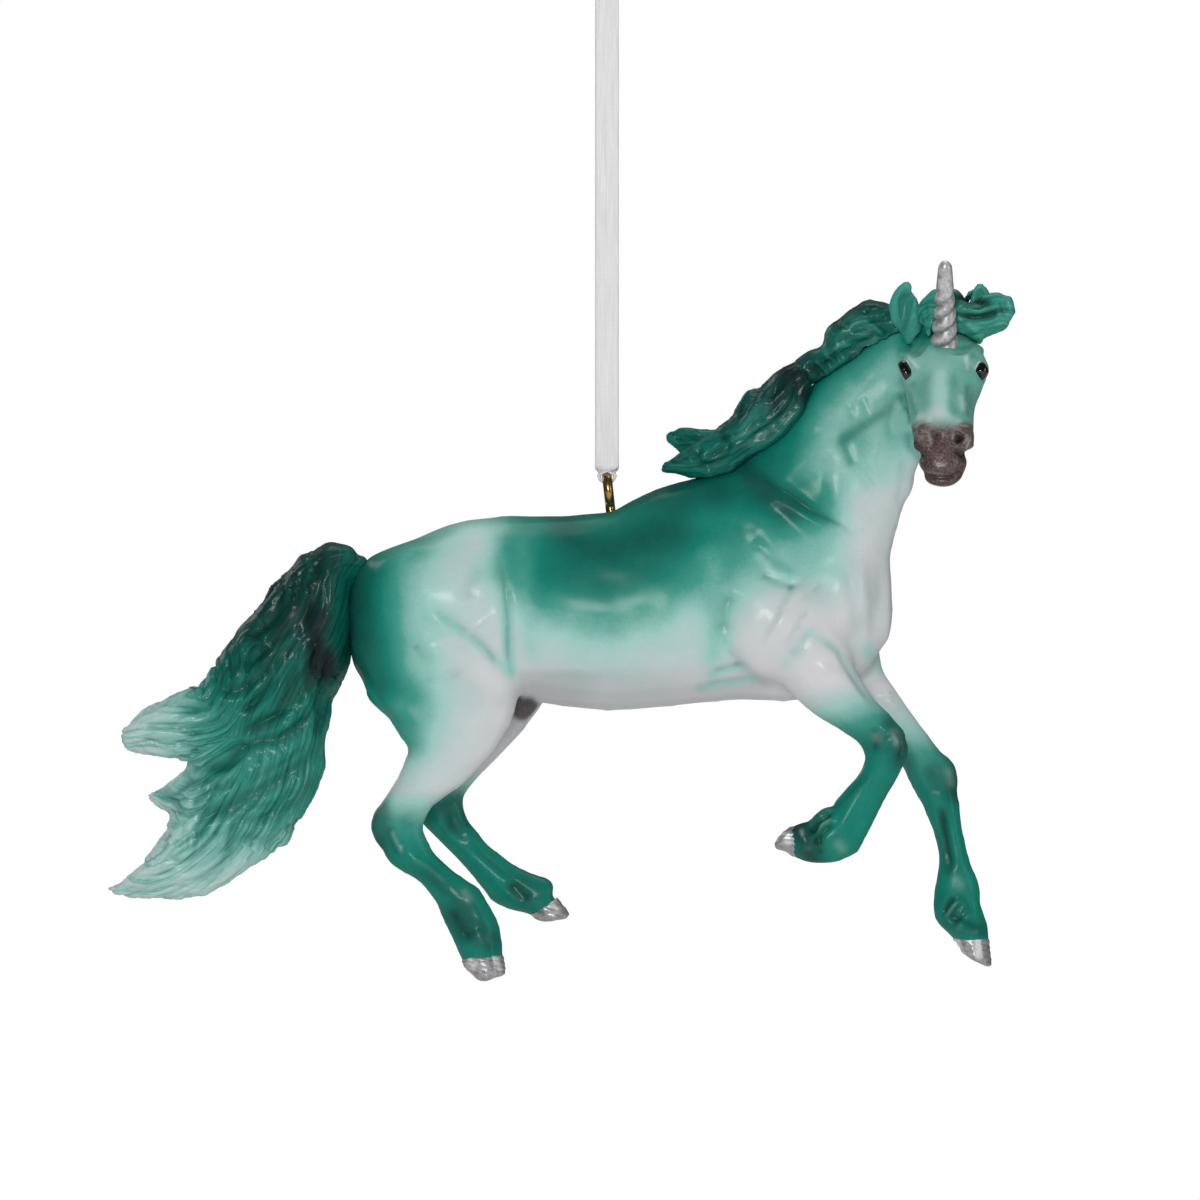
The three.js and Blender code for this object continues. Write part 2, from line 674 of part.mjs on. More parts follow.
const forelockLocks = [
  [
    [41.2, 27.8, 41.4, 24.4, -6.8, 0.3],
    [42.9, 29.5, 42.9, 23.8, -7, 0.38],
    [45.6, 29.5, 45.6, 23, -7.2, 0.46],
    [48.4, 28.4, 48.8, 22.3, -7.6, 0.46],
    [51.4, 29, 51.8, 23.6, -7.6, 0.4],
    [53.1, 28.2, 53.1, 25.1, -7.4, 0.3],
  ],
  [
    [45, 26.8, 46.6, 24.6, -5.6, 0.3],
    [46.6, 28.6, 48.6, 26, -5.8, 0.26],
    [48.4, 29.9, 49.6, 28.6, -6, 0.16],
  ],
  [
    [41.2, 27.6, 42.6, 26.6, -7.6, 0.24],
    [41.4, 25, 43.4, 24.8, -8.6, 0.34],
    [42, 22.6, 43.8, 22.4, -9.2, 0.26],
  ],
];
const tailLocks = [
  [
    [-32.4, -5, -33.6, -9.6, 0, 0.6],
    [-37.4, -4.6, -34.4, -12, 0, 0.8],
    [-41.6, -6.1, -34.6, -16.6, 0, 0.96],
    [-45, -9.6, -35.2, -20.6, 0, 1],
    [-49, -15, -37, -25, 0.2, 1],
    [-52.4, -20.2, -38.2, -30, 0.4, 0.94],
    [-55, -25, -38.4, -34.4, 0.4, 0.84],
    [-55.6, -31, -39.4, -38.2, 0.2, 0.76],
    [-57.6, -37, -41.8, -42, 0, 0.66],
    [-59.6, -43, -45, -45.8, -0.4, 0.56],
    [-62.6, -47.2, -51, -49.8, -0.8, 0.44],
    [-65.4, -49.6, -57, -52, -1, 0.3],
    [-67, -50.3, -64.6, -51.6, -1, 0.16],
  ],
  [
    [-50.6, -17, -47, -28, -0.6, 0.7],
    [-54.2, -22.8, -50, -33, -1, 0.64],
    [-58.4, -24.6, -55, -33.8, -1.4, 0.52],
    [-62, -26.1, -59.6, -33.1, -1.8, 0.4],
    [-64.8, -29, -64.2, -32.2, -2, 0.24],
  ],
  [
    [-53, -29, -50, -40, 1, 0.66],
    [-56.4, -34.4, -54, -42, 1.2, 0.54],
    [-59.4, -36.8, -57.8, -41.6, 1.4, 0.36],
    [-61.4, -37.8, -60.6, -39.4, 1.4, 0.16],
  ],
];

const dock = onTrunk(-32.4, -7);
const tailShare = tailReach / 57.5;
const onTail = (x, y, z) => stretched(onTrunk(x, z).setY(y), dock, tailShare);
const onPoll = (x, y, z) => vec(x - 44.3, y + 5, z - 25.3).multiplyScalar(headShare).add(poll);

const join = (parts) => parts.reduce((whole, part) => whole.add(part));
const hornClear = hornSolid(seam);
const earsClear = join([-1, 1].map((side) => earSolid(side, seam)));
const locks = (rows, place, thickness, grow = 0) => join(
  rows.map((lock) => lockSolid(lock, place, thickness, { grow })));

// Hair castings, each cut to lie a seam off the hide and off its neighbours
const foreHair = locks(forelockLocks, onPoll, maneThick).subtract(hideClear)
  .subtract(hornClear).subtract(earsClear);
const upperHair = locks(maneUpperLocks, onNeck, maneThick);
const lowerHair = locks(maneLowerLocks, onNeck, maneThick);
const wingHair = locks(maneWingLocks, onNeck, maneThick);
const upperClear = locks(maneUpperLocks, onNeck, maneThick, seam);
const lowerClear = locks(maneLowerLocks, onNeck, maneThick, seam);
const tailHair = locks(tailLocks, onTail, tailThick);
const foreClear = locks(forelockLocks, onPoll, maneThick, seam);

// Pegs of the hair run into the hide
const hairPegs = {
  tail: { point: onTrunk(-33.4, -9.4), direction: vec(1, 0, -0.25), peg: tailPeg },
  mane_upper: { point: onNeck(34.4, 0, 21), direction: vec(0.35, 0, -1), peg: hairPeg },
  mane_lower: { point: onNeck(21.6, 0, 10.6), direction: vec(0.8, 0, -1), peg: hairPeg },
};
const hairRod = (name, grow = 0) => rod(hairPegs[name].point, hairPegs[name].direction.clone().normalize(),
  hairPegs[name].peg, grow, 2.4);
const hairSockets = join(Object.keys(hairPegs).map((name) => hairRod(name, pegClearance)));

// Castings of the hide
const hornPegRod = (grow) => rod(hornFoot, hornAxis.clone().negate(), hornPeg, grow, 2.4);
const earRod = (side, grow) => rod(onHead(1.6, -1.6, side * 4.1), vec(-side * 0.4, 0.1, -1), earPeg, grow, 1.6);
const smallSockets = join([hornPegRod(pegClearance), earRod(-1, pegClearance), earRod(1, pegClearance)]);
const eyeSockets = join([-1, 1].map((side) => ellipsoid(eyeballAt(side),
  [eyeballDiameter / 2, eyeballDiameter / 2, eyeballDiameter / 2], 0, seam)));

const head = hide.intersect(headCut(0)).subtract(smallSockets).subtract(eyeSockets)
  .subtract(hairSockets).add(pegOf(headJoint, headPeg));
const neck = hide.intersect(neckCut(0)).subtract(headCut(seam)).subtract(pegOf(headJoint, headPeg, pegClearance))
  .subtract(hairSockets).add(pegOf(neckJoint, neckPeg));

const limbCut = (limb, back) => cutBlock(limb.joint, legBlock, back);
let barrel = hide.subtract(neckCut(seam)).subtract(pegOf(neckJoint, neckPeg, pegClearance))
  .subtract(shankHole).subtract(hairSockets);
for (const limb of Object.values(limbs)) {
  barrel = barrel.subtract(limbCut(limb, seam)).subtract(pegOf(limb.joint, legPeg, pegClearance));
}

// A leg casting ends flat at the coronet, with a socket for the hoof's peg
function coronet(limb) {
  const end = limb.stations.at(-1);
  const normal = end.up.clone().cross(end.side).normalize();
  const soleCentre = limb.sole3.from.clone().add(limb.sole3.to).multiplyScalar(0.5);
  if (normal.dot(soleCentre.clone().sub(end.centre)) < 0) normal.negate();
  return { point: end.centre, normal };
}

function legSolid(limb) {
  const end = coronet(limb);
  const socket = rod(end.point, end.normal.clone().negate(), hoofPeg, pegClearance, 1);
  const cast = limbLoft(limb, 0).intersect(limbCut(limb, 0));
  return cast.add(pegOf(limb.joint, legPeg)).subtract(socket);
}

// A hoof runs from the coronet to its sole, with a peg up into the leg
function hoofSolid(limb) {
  const end = coronet(limb);
  const rim = limb.pairs.at(-1);
  const shift = end.normal.clone().multiplyScalar(seam);
  const top = { from: rim.from.clone().add(shift), to: rim.to.clone().add(shift), half: rim.half - 0.15 };
  const inset = rim.from.clone().sub(rim.to).normalize().multiplyScalar(0.2);
  top.from.sub(inset);
  top.to.add(inset);
  const middle = {
    from: top.from.clone().lerp(limb.sole3.from, 0.55),
    to: top.to.clone().lerp(limb.sole3.to, 0.55),
    half: Math.max(top.half, limb.sole3.half),
  };
  const wall = loft(pairStations([top, middle, limb.sole3]), { sides: limbSides, domes: [0, 0.35] });
  const peg = rod(top.from.clone().add(top.to).multiplyScalar(0.5), end.normal.clone().negate(), hoofPeg, 0, 1);
  return solid(wall).add(peg);
}

// Screw eye: the ring and the shank are one bent wire, with a thread on the shank
const ringRadius = (ringOuter - wireDiameter) / 2;
const bendRadius = 1;
const ringHeight = eyeReach - ringRadius;
const bendDrop = Math.sqrt(ringRadius ** 2 + 2 * ringRadius * bendRadius);
const ringStart = Math.atan2(-bendDrop, bendRadius);
const ringEnd = 225 * degrees;

function wirePoints() {
  const points = [vec(0, 0, -1.2), vec(0, 0, -0.6)];
  const bendAngle = Math.PI + ringStart;
  const count = 26;
  for (let i = 1; i <= 3; i += 1) {
    const angle = Math.PI - (Math.PI - bendAngle) * i / 4;
    points.push(vec(0, bendRadius + bendRadius * Math.cos(angle),
      ringHeight - bendDrop + bendRadius * Math.sin(angle)));
  }
  for (let i = 0; i <= count; i += 1) {
    const angle = ringStart + (ringEnd - ringStart) * i / count;
    points.push(vec(0, ringRadius * Math.cos(angle), ringHeight + ringRadius * Math.sin(angle)));
  }
  return points;
}

function regularShape(radius, sides) {
  return new THREE.Shape(Array.from({ length: sides }, (_, k) => new THREE.Vector2(
    radius * Math.cos(2 * Math.PI * k / sides), radius * Math.sin(2 * Math.PI * k / sides))));
}

function screwEyeSolid() {
  const path = new THREE.CatmullRomCurve3(wirePoints());
  const wire = new THREE.ExtrudeGeometry(regularShape(wireDiameter / 2, wireSides),
    { steps: 38, bevelEnabled: false, extrudePath: path });
  const core = wireDiameter / 2;
  const crest = threadDiameter / 2;
  const radiusAt = (z, angle) => {
    const turn = (1 + z / threadPitch - angle / (2 * Math.PI)) % 1;
    const point = THREE.MathUtils.clamp(z / 1.6, 0.35, 1);
    const fade = THREE.MathUtils.clamp((shankLength - 1.2 - z) / 0.6, 0, 1);
    return (core + (crest - core) * fade * Math.max(0, 1 - 3 * Math.abs(turn - 0.5))) * point;
  };
  const shank = turnedBody(shankLength - 0.5, 34, wireSides, radiusAt);
  shank.translate(0, 0, -shankLength);
  return solid(wire).add(solid(shank));
}

// Ribbon: a flat section, drawn across its thickness and width
function ribbonShape(width, thick) {
  const edge = thick * 0.3;
  const [w, t] = [width / 2, thick / 2];
  return new THREE.Shape([[t, w - edge], [t - edge / 2, w], [-t + edge / 2, w], [-t, w - edge],
    [-t, edge - w], [-t + edge / 2, -w], [t - edge / 2, -w], [t, edge - w]]
    .map(([x, y]) => new THREE.Vector2(x, y)));
}

// A free run of the ribbon, straight down from the knot to the gathered fold
function ribbonRun(side) {
  const top = vec(0, side * runSpacing / 2, -seam);
  const bottom = vec(0, side * runSpacing / 2, -ribbonDrop + foldRise + seam / 2);
  return new THREE.ExtrudeGeometry(ribbonShape(ribbonWidth, ribbonThick),
    { steps: 9, bevelEnabled: false, extrudePath: new THREE.LineCurve3(top, bottom) });
}

// The fold: both runs turn edge on, gather, and pass under the top of the ring
const foldRadius = wireDiameter / 2 + foldClearance + foldThick / 2;

function foldGeometry() {
  const legTop = foldRise - seam / 2;
  const legRows = [[1, 0], [0.82, 0.04], [0.62, 0.25], [0.42, 0.6], [0.24, 0.9], [0.1, 1]];
  const leg = legRows.map(([share, turned]) => ({
    centre: vec(-foldRadius * turned, -runSpacing / 2 * (1 - turned), legTop * share),
    width: vec(Math.cos(turned * Math.PI / 2), -Math.sin(turned * Math.PI / 2), 0),
    half: THREE.MathUtils.lerp(ribbonWidth, foldWidth, turned) / 2,
    thick: THREE.MathUtils.lerp(ribbonThick, foldThick, turned) / 2,
  }));
  const bowl = [0, 30, 60, 90].map((angle) => ({
    centre: vec(-foldRadius * Math.cos(angle * degrees), 0, -foldRadius * Math.sin(angle * degrees)),
    width: vec(0, -1, 0), half: foldWidth / 2, thick: foldThick / 2,
  }));
  const half = [...leg, ...bowl];
  const mirrored = half.slice(0, -1).reverse().map(({ centre, width, half: h, thick }) => ({
    centre: vec(-centre.x, -centre.y, centre.z), width: vec(-width.x, width.y, 0), half: h, thick,
  }));
  const path = [...half, ...mirrored];
  const stations = path.map(({ centre, width, half: h, thick }, i) => {
    const forward = path[Math.min(i + 1, path.length - 1)].centre.clone()
      .sub(path[Math.max(i - 1, 0)].centre).normalize();
    return { centre, up: width, side: width.clone().cross(forward).normalize(), top: h, bottom: h, half: thick };
  });
  const geometry = loft(stations, { sides: wireSides, steps: 1 });
  geometry.translate(0, 0, -ribbonDrop);
  return geometry;
}

// The knot above the hang point, with the two short ends of the ribbon
function knotSolid() {
  const middle = vec(0, 0, knotHeight / 2 + seam);
  const band = new THREE.SphereGeometry(1, 12, 8);
  band.scale(knotWidth / 2, knotDepth / 2, knotHeight / 2);
  band.translate(middle.x, middle.y, middle.z);
  const ends = [-1, 1].map((side) => {
    const path = new THREE.CatmullRomCurve3([
      vec(side * knotWidth * 0.2, 0, middle.z),
      vec(side * knotWidth * 0.42, -0.4, middle.z + tailLength * 0.45),
      vec(side * knotWidth * 0.5, 0.2, middle.z + tailLength),
    ]);
    return solid(new THREE.ExtrudeGeometry(ribbonShape(ribbonWidth, ribbonThick * 1.6),
      { steps: 5, bevelEnabled: false, extrudePath: path }));
  });
  return join([solid(band), ...ends]);
}

// Materials and the scene graph

const finishes = {
  pearl_hide: { color: 0x4d9a8c, roughness: 0.3, metalness: 0 },
  dark_hair: { color: 0x1c5f57, roughness: 0.32, metalness: 0 },
  silver_paint: { color: 0xa3a2a5, roughness: 0.35, metalness: 0.7 },
  eye_black: { color: 0x0b0b0d, roughness: 0.08, metalness: 0 },
  brass_wire: { color: 0xb08a4a, roughness: 0.2, metalness: 1 },
  white_ribbon: { color: 0xe2e2e2, roughness: 0.6, metalness: 0 },
};

function named(name, shape, finish) {
  const geometry = shape instanceof THREE.BufferGeometry ? shape : largestBody(shape);
  geometry.computeVertexNormals();
  const mesh = new THREE.Mesh(geometry, new THREE.MeshStandardMaterial(finishes[finish]));
  mesh.name = name;
  return mesh;
}

const figure = new THREE.Group();
figure.add(named('barrel', barrel, 'pearl_hide'));
figure.add(named('neck', neck, 'pearl_hide'));
figure.add(named('head', head, 'pearl_hide'));
for (const [name, limb] of Object.entries(limbs)) {
  figure.add(named(name, legSolid(limb), 'pearl_hide'));
  figure.add(named(name.replace('leg', '_hoof'), hoofSolid(limb), 'silver_paint'));
}
for (const [name, side] of [['right', -1], ['left', 1]]) {
  const eyeball = new THREE.SphereGeometry(eyeballDiameter / 2, 12, 8);
  eyeball.translate(...eyeballAt(side).toArray());
  figure.add(named(`${name}_eye`, eyeball, 'eye_black'));
  const ear = earSolid(side, 0).subtract(hideClear).add(earRod(side, 0));
  figure.add(named(`${name}_ear`, ear, 'pearl_hide'));
}
figure.add(named('horn', hornSolid(0).subtract(hideClear).add(hornPegRod(0)), 'silver_paint'));
figure.add(named('forelock', foreHair, 'dark_hair'));
figure.add(named('mane_upper', upperHair.subtract(hideClear).subtract(earsClear).subtract(foreClear)
  .add(hairRod('mane_upper')), 'dark_hair'));
figure.add(named('mane_lower', lowerHair.subtract(hideClear).subtract(upperClear)
  .add(hairRod('mane_lower')), 'dark_hair'));
figure.add(named('mane_flyaway', wingHair.subtract(hideClear).subtract(lowerClear), 'dark_hair'));
figure.add(named('tail', tailHair.subtract(hideClear).add(hairRod('tail')), 'dark_hair'));
figure.position.set(eyeReach * Math.sin(eyeLean * degrees), 0, -ribbonDrop - eyeReach * Math.cos(eyeLean * degrees));

const screwEye = named('screw_eye', screwEyeSolid(), 'brass_wire');
screwEye.position.copy(figure.position);
screwEye.rotation.y = -eyeLean * degrees;

const ornament = new THREE.Group();
ornament.add(figure, screwEye);
ornament.add(named('ribbon_front_run', ribbonRun(-1), 'white_ribbon'));
ornament.add(named('ribbon_back_run', ribbonRun(1), 'white_ribbon'));
ornament.add(named('ribbon_fold', foldGeometry(), 'white_ribbon'));
ornament.add(named('ribbon_knot', knotSolid(), 'white_ribbon'));

export default ornament;
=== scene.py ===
# Looks for the unicorn tree ornament: painted resin, silver horn and hooves, brass eye, sheer ribbon.
import math
import bpy
import numpy as np
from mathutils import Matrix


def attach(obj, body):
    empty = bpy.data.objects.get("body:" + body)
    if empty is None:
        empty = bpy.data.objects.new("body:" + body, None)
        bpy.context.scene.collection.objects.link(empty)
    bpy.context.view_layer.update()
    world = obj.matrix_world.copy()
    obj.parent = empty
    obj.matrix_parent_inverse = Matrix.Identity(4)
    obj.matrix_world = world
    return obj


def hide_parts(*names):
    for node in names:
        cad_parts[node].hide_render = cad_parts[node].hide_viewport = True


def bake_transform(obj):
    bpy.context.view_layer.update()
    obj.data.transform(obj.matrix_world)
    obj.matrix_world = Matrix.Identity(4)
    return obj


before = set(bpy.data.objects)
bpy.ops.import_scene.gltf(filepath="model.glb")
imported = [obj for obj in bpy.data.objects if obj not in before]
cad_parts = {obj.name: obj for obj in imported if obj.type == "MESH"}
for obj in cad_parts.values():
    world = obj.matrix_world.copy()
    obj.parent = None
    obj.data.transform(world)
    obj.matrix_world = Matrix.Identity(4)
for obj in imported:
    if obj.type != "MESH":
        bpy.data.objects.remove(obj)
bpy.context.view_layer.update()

# Sculpting is done in millimetres from the hole of the screw eye
MM = 0.001
FIGURE = np.array([0.4795, 0.0, -80.414])
PX_PER_MM = 7.5
PX_ORIGIN = (611.0, 509.7)
NEAR, BOTH = -1, 0

# Camera: the whole picture is 160 mm wide at 2.2 m
PICTURE_WIDTH = 0.160
CAMERA_DISTANCE = 2.2
CAMERA_X, CAMERA_Z = -0.00093, -0.09245
SENSOR = 36.0
camera = bpy.data.cameras.new("camera")
camera.sensor_width = SENSOR
camera.lens = SENSOR * CAMERA_DISTANCE / PICTURE_WIDTH
camera.clip_start = 0.05
camera.clip_end = 20
camera_object = bpy.data.objects.new("camera", camera)
camera_object.location = (CAMERA_X, -CAMERA_DISTANCE, CAMERA_Z)
camera_object.rotation_euler = (math.pi / 2, 0, 0)
bpy.context.scene.collection.objects.link(camera_object)
bpy.context.scene.camera = camera_object
bpy.context.scene.view_settings.view_transform = "Standard"


def linear(r, g, b):
    """A paint colour, written 0 to 255 as it looks, for a shader socket."""
    def one(c):
        c /= 255
        return c / 12.92 if c <= 0.04045 else ((c + 0.055) / 1.055) ** 2.4
    return (one(r), one(g), one(b), 1)


def smooth(value, low, high):
    t = np.clip((value - low) / (high - low), 0, 1)
    return t * t * (3 - 2 * t)


def unit(vectors):
    """The vectors, or the one vector, at length 1."""
    return vectors / np.linalg.norm(vectors, axis=-1, keepdims=True)


def round_angles(count):
    return np.arange(count) * 2 * math.pi / count


def curve_through(points, steps=6):
    """A smooth line through the points."""
    p = np.array(points, float)
    if len(p) < 3:
        share = np.linspace(0, 1, 2 * steps)[:, None]
        return p[0] * (1 - share) + p[-1] * share
    ends = np.vstack([2 * p[0] - p[1], p, 2 * p[-1] - p[-2]])
    out = []
    for a, b, c, d in zip(ends, ends[1:], ends[2:], ends[3:]):
        for t in np.arange(steps) / steps:
            out.append(0.5 * (2 * b + (c - a) * t + (2 * a - 5 * b + 4 * c - d) * t * t
                              + (3 * b - a - 3 * c + d) * t ** 3))
    out.append(p[-1])
    return np.array(out)


def add_mesh(name, points, faces, attributes=None):
    """A smooth object from points in metres in the part's frame."""
    mesh = bpy.data.meshes.new(name)
    mesh.from_pydata([tuple(map(float, p)) for p in points], [], [tuple(map(int, f)) for f in faces])
    mesh.update()
    for key, values in (attributes or {}).items():
        layer = mesh.attributes.new(key, "FLOAT", "POINT")
        layer.data.foreach_set("value", np.asarray(values, np.float32))
    mesh.shade_smooth()
    obj = bpy.data.objects.new(name, mesh)
    bpy.context.scene.collection.objects.link(obj)
    return obj


def dress(obj, material, slot, body, *replaced):
    """Paints a piece, hangs it on the empty of the body that carries it, and hides the nodes it stands for.
    """
    obj.data.materials.append(material)
    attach(obj, body)
    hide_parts(*replaced)


def skin_over(rings):
    """Points and faces of a tube through rings of points, with a point in each end."""
    rings = np.array(rings, float)
    count, sides = rings.shape[:2]
    points = np.vstack([rings.reshape(-1, 3), rings[0].mean(0), rings[-1].mean(0)])
    start, end, last = count * sides, count * sides + 1, (count - 1) * sides
    faces = []
    for i in range(count - 1):
        for j in range(sides):
            k = (j + 1) % sides
            faces.append((i * sides + j, i * sides + k, (i + 1) * sides + k, (i + 1) * sides + j))
    faces += [(start, (j + 1) % sides, j) for j in range(sides)]
    faces += [(end, last + j, last + (j + 1) % sides) for j in range(sides)]
    return points, faces


# Node materials
class Graph:
    """Adds nodes to a node tree; each method gives the output of its new node."""
    def __init__(self, tree):
        self.nodes, self.links = tree.nodes, tree.links

    def feed(self, socket, value):
        """Sets a socket to a constant, or links an output to it."""
        if isinstance(value, (int, float, tuple)):
            socket.default_value = value
        else:
            self.links.new(value, socket)

    def attribute(self, name):
        node = self.nodes.new("ShaderNodeAttribute")
        node.attribute_name = name
        return node.outputs["Fac"]

    def place(self):
        return self.nodes.new("ShaderNodeTexCoord").outputs["Object"]

    def stretched(self, place, scale):
        node = self.nodes.new("ShaderNodeMapping")
        node.inputs["Scale"].default_value = scale
        self.links.new(place, node.inputs["Vector"])
        return node.outputs["Vector"]

    def noise(self, place, scale, detail=3.0, roughness=0.5):
        node = self.nodes.new("ShaderNodeTexNoise")
        node.inputs["Scale"].default_value = scale
        node.inputs["Detail"].default_value = detail
        node.inputs["Roughness"].default_value = roughness
        self.links.new(place, node.inputs["Vector"])
        return node.outputs["Fac"]

    def math(self, operation, *values, clamp=False):
        node = self.nodes.new("ShaderNodeMath")
        node.operation = operation
        node.use_clamp = clamp
        for socket, value in zip(node.inputs, values):
            self.feed(socket, value)
        return node.outputs[0]

    def times(self, a, b):
        return self.math("MULTIPLY", a, b)

    def times_plus(self, a, b, c, clamp=False):
        return self.math("MULTIPLY_ADD", a, b, c, clamp=clamp)

    def varied(self, value, pattern, middle, amount, clamp=False):
        """The value, moved up and down by a pattern round its middle."""
        return self.times_plus(self.math("SUBTRACT", pattern, middle), amount, value, clamp)

    def mixed(self, share, a, b, kind="MIX"):
        node = self.nodes.new("ShaderNodeMix")
        node.data_type = "RGBA"
        node.blend_type = kind
        for number, value in ((0, share), (6, a), (7, b)):
            self.feed(node.inputs[number], value)
        return node.outputs[2]

    def ramp(self, value, *stops):
        node = self.nodes.new("ShaderNodeValToRGB")
        while len(node.color_ramp.elements) < len(stops):
            node.color_ramp.elements.new(0.5)
        for element, (place, colour) in zip(node.color_ramp.elements, stops):
            element.position = place
            element.color = colour
        self.links.new(value, node.inputs["Fac"])
        return node.outputs["Color"]

    def bump(self, shader, height, strength, distance):
        node = self.nodes.new("ShaderNodeBump")
        node.inputs["Strength"].default_value = strength
        node.inputs["Distance"].default_value = distance
        self.links.new(height, node.inputs["Height"])
        self.links.new(node.outputs["Normal"], shader.inputs["Normal"])


def new_material(name):
    material = bpy.data.materials.new(name)
    material.use_nodes = True
    return material, Graph(material.node_tree), material.node_tree.nodes["Principled BSDF"]


PEARL = linear(204, 201, 204)
PALE_TEAL = linear(150, 196, 188)
SOFT_TEAL = linear(62, 148, 132)
TEAL = linear(4, 122, 105)
DEEP_GREEN = linear(0, 84, 72)
CHARCOAL = linear(8, 34, 38)
MUZZLE_DARK, MUZZLE, MUZZLE_LIGHT = linear(64, 50, 49), linear(92, 76, 74), linear(120, 104, 102)
# Colour of the painted highlights
PAINTED_HIGHLIGHT = linear(214, 226, 224)
# Dark wash and painted shade of the hollows: green on the paint, brown on the muzzle
GREEN_WASH_AND_SHADE = (0.1, 0.4, 0.37, 1)
BROWN_WASH_AND_SHADE = (0.24, 0.21, 0.21, 1)
HAIR_SHADOW = (0.14, 0.42, 0.4, 1)
NO_SHADOW = (1, 1, 1, 1)


def paint_material(name, roughness, coat, coat_roughness, fleck, hair=0.0):
    """Airbrushed pearl paint: the tones are on the surface, the grain and the flecks are in the nodes."""
    material, graph, shader = new_material(name)
    place = graph.place()
    mottle = graph.noise(place, 260, 5.0, 0.62)
    grain = graph.noise(place, 2600, 2.0, 0.6)
    tint = graph.attribute("tone")
    if hair:
        strands = graph.nodes.new("ShaderNodeCombineXYZ")
        graph.feed(strands.inputs[0], graph.times(graph.attribute("strand"), 1.5))
        graph.feed(strands.inputs[1], graph.times(graph.attribute("flow"), 0.09))
        combing = graph.noise(strands.outputs[0], 1.15, 4.0, 0.6)
        tint = graph.varied(tint, combing, 0.52, -0.75)
    cloud = graph.varied(tint, mottle, 0.5, 0.16)
    tone = graph.varied(cloud, grain, 0.5, 0.06, clamp=True)
    colour = graph.ramp(tone, (0, PEARL), (0.3, PALE_TEAL), (0.55, SOFT_TEAL), (0.78, TEAL), (1, DEEP_GREEN))
    colour = graph.mixed(graph.attribute("coal"), colour, CHARCOAL)
    stipple = graph.noise(place, 3600, 3.0, 0.7)
    muzzle = graph.ramp(stipple, (0.36, MUZZLE_DARK), (0.5, MUZZLE), (0.68, MUZZLE_LIGHT))
    colour = graph.mixed(graph.attribute("warm"), colour, muzzle)
    # Dark wash and painted shade in the hollows, from the cavity layer
    wash_and_shade_colour = graph.mixed(graph.attribute("warm"), GREEN_WASH_AND_SHADE, BROWN_WASH_AND_SHADE)
    colour = graph.mixed(graph.attribute("cavity"), colour, wash_and_shade_colour, "MULTIPLY")
    # Painted highlights on the ridges and the glints, from the ridge layer
    colour = graph.mixed(graph.attribute("ridge"), colour, PAINTED_HIGHLIGHT)
    if hair:
        shadow = graph.ramp(combing, (0.34, HAIR_SHADOW), (0.48, NO_SHADOW))
        colour = graph.mixed(hair, colour, shadow, "MULTIPLY")
    graph.feed(shader.inputs["Base Color"], colour)
    satin = graph.times_plus(graph.attribute("tone"), 0.36, roughness - 0.11)
    rough = graph.times_plus(grain, 0.22, satin)
    rough = graph.times_plus(graph.attribute("warm"), -0.16, rough)
    graph.feed(shader.inputs["Roughness"], rough)
    shader.inputs["Coat Weight"].default_value = coat
    shader.inputs["Coat Roughness"].default_value = coat_roughness
    shader.inputs["Specular IOR Level"].default_value = 0.13
    flecks = graph.noise(place, 5200, 1.0, 0.5)
    skin = graph.times_plus(grain, 0.5, graph.times(flecks, fleck))
    pits = graph.noise(place, 900, 3.0, 0.6)
    skin = graph.times_plus(pits, 1.6, skin)
    if hair:
        graph.bump(shader, graph.times_plus(combing, 3.6, skin), 0.5, 0.00006)
    else:
        graph.bump(shader, skin, 0.5, 0.00005)
    return material


def silver_material():
    material, graph, shader = new_material("silver_paint")
    place = graph.place()
    brushing = graph.noise(place, 1300, 3.0, 0.6)
    speckle = graph.noise(place, 4200, 2.0, 0.6)
    shade = graph.times_plus(speckle, 0.26, graph.times(brushing, 0.74))
    colour = graph.ramp(shade, (0.3, linear(128, 128, 130)), (0.5, linear(190, 189, 190)),
                        (0.72, linear(230, 229, 229)))
    # Darker by the cavity layer: the hooves all over, painted shade in the horn's grooves and the hooves'
    # rings; painted highlights (glints) by the ridge layer
    colour = graph.mixed(graph.attribute("cavity"), colour, (0.3, 0.3, 0.32, 1), "MULTIPLY")
    colour = graph.mixed(graph.attribute("ridge"), colour, linear(250, 250, 250))
    graph.feed(shader.inputs["Base Color"], colour)
    shader.inputs["Metallic"].default_value = 0.55
    graph.feed(shader.inputs["Roughness"], graph.times_plus(speckle, 0.25, 0.26))
    graph.bump(shader, shade, 0.4, 0.00006)
    return material


def brass_material():
    material, graph, shader = new_material("brass_wire")
    place = graph.place()
    tarnish = graph.noise(place, 700, 4.0, 0.6)
    colour = graph.ramp(tarnish, (0.3, linear(120, 84, 44)), (0.55, linear(176, 138, 82)),
                        (0.75, linear(206, 172, 112)))
    graph.feed(shader.inputs["Base Color"], colour)
    shader.inputs["Metallic"].default_value = 1.0
    graph.feed(shader.inputs["Roughness"], graph.times_plus(tarnish, 0.2, 0.12))
    graph.bump(shader, graph.noise(place, 3000, 2.0), 0.15, 0.00002)
    return material


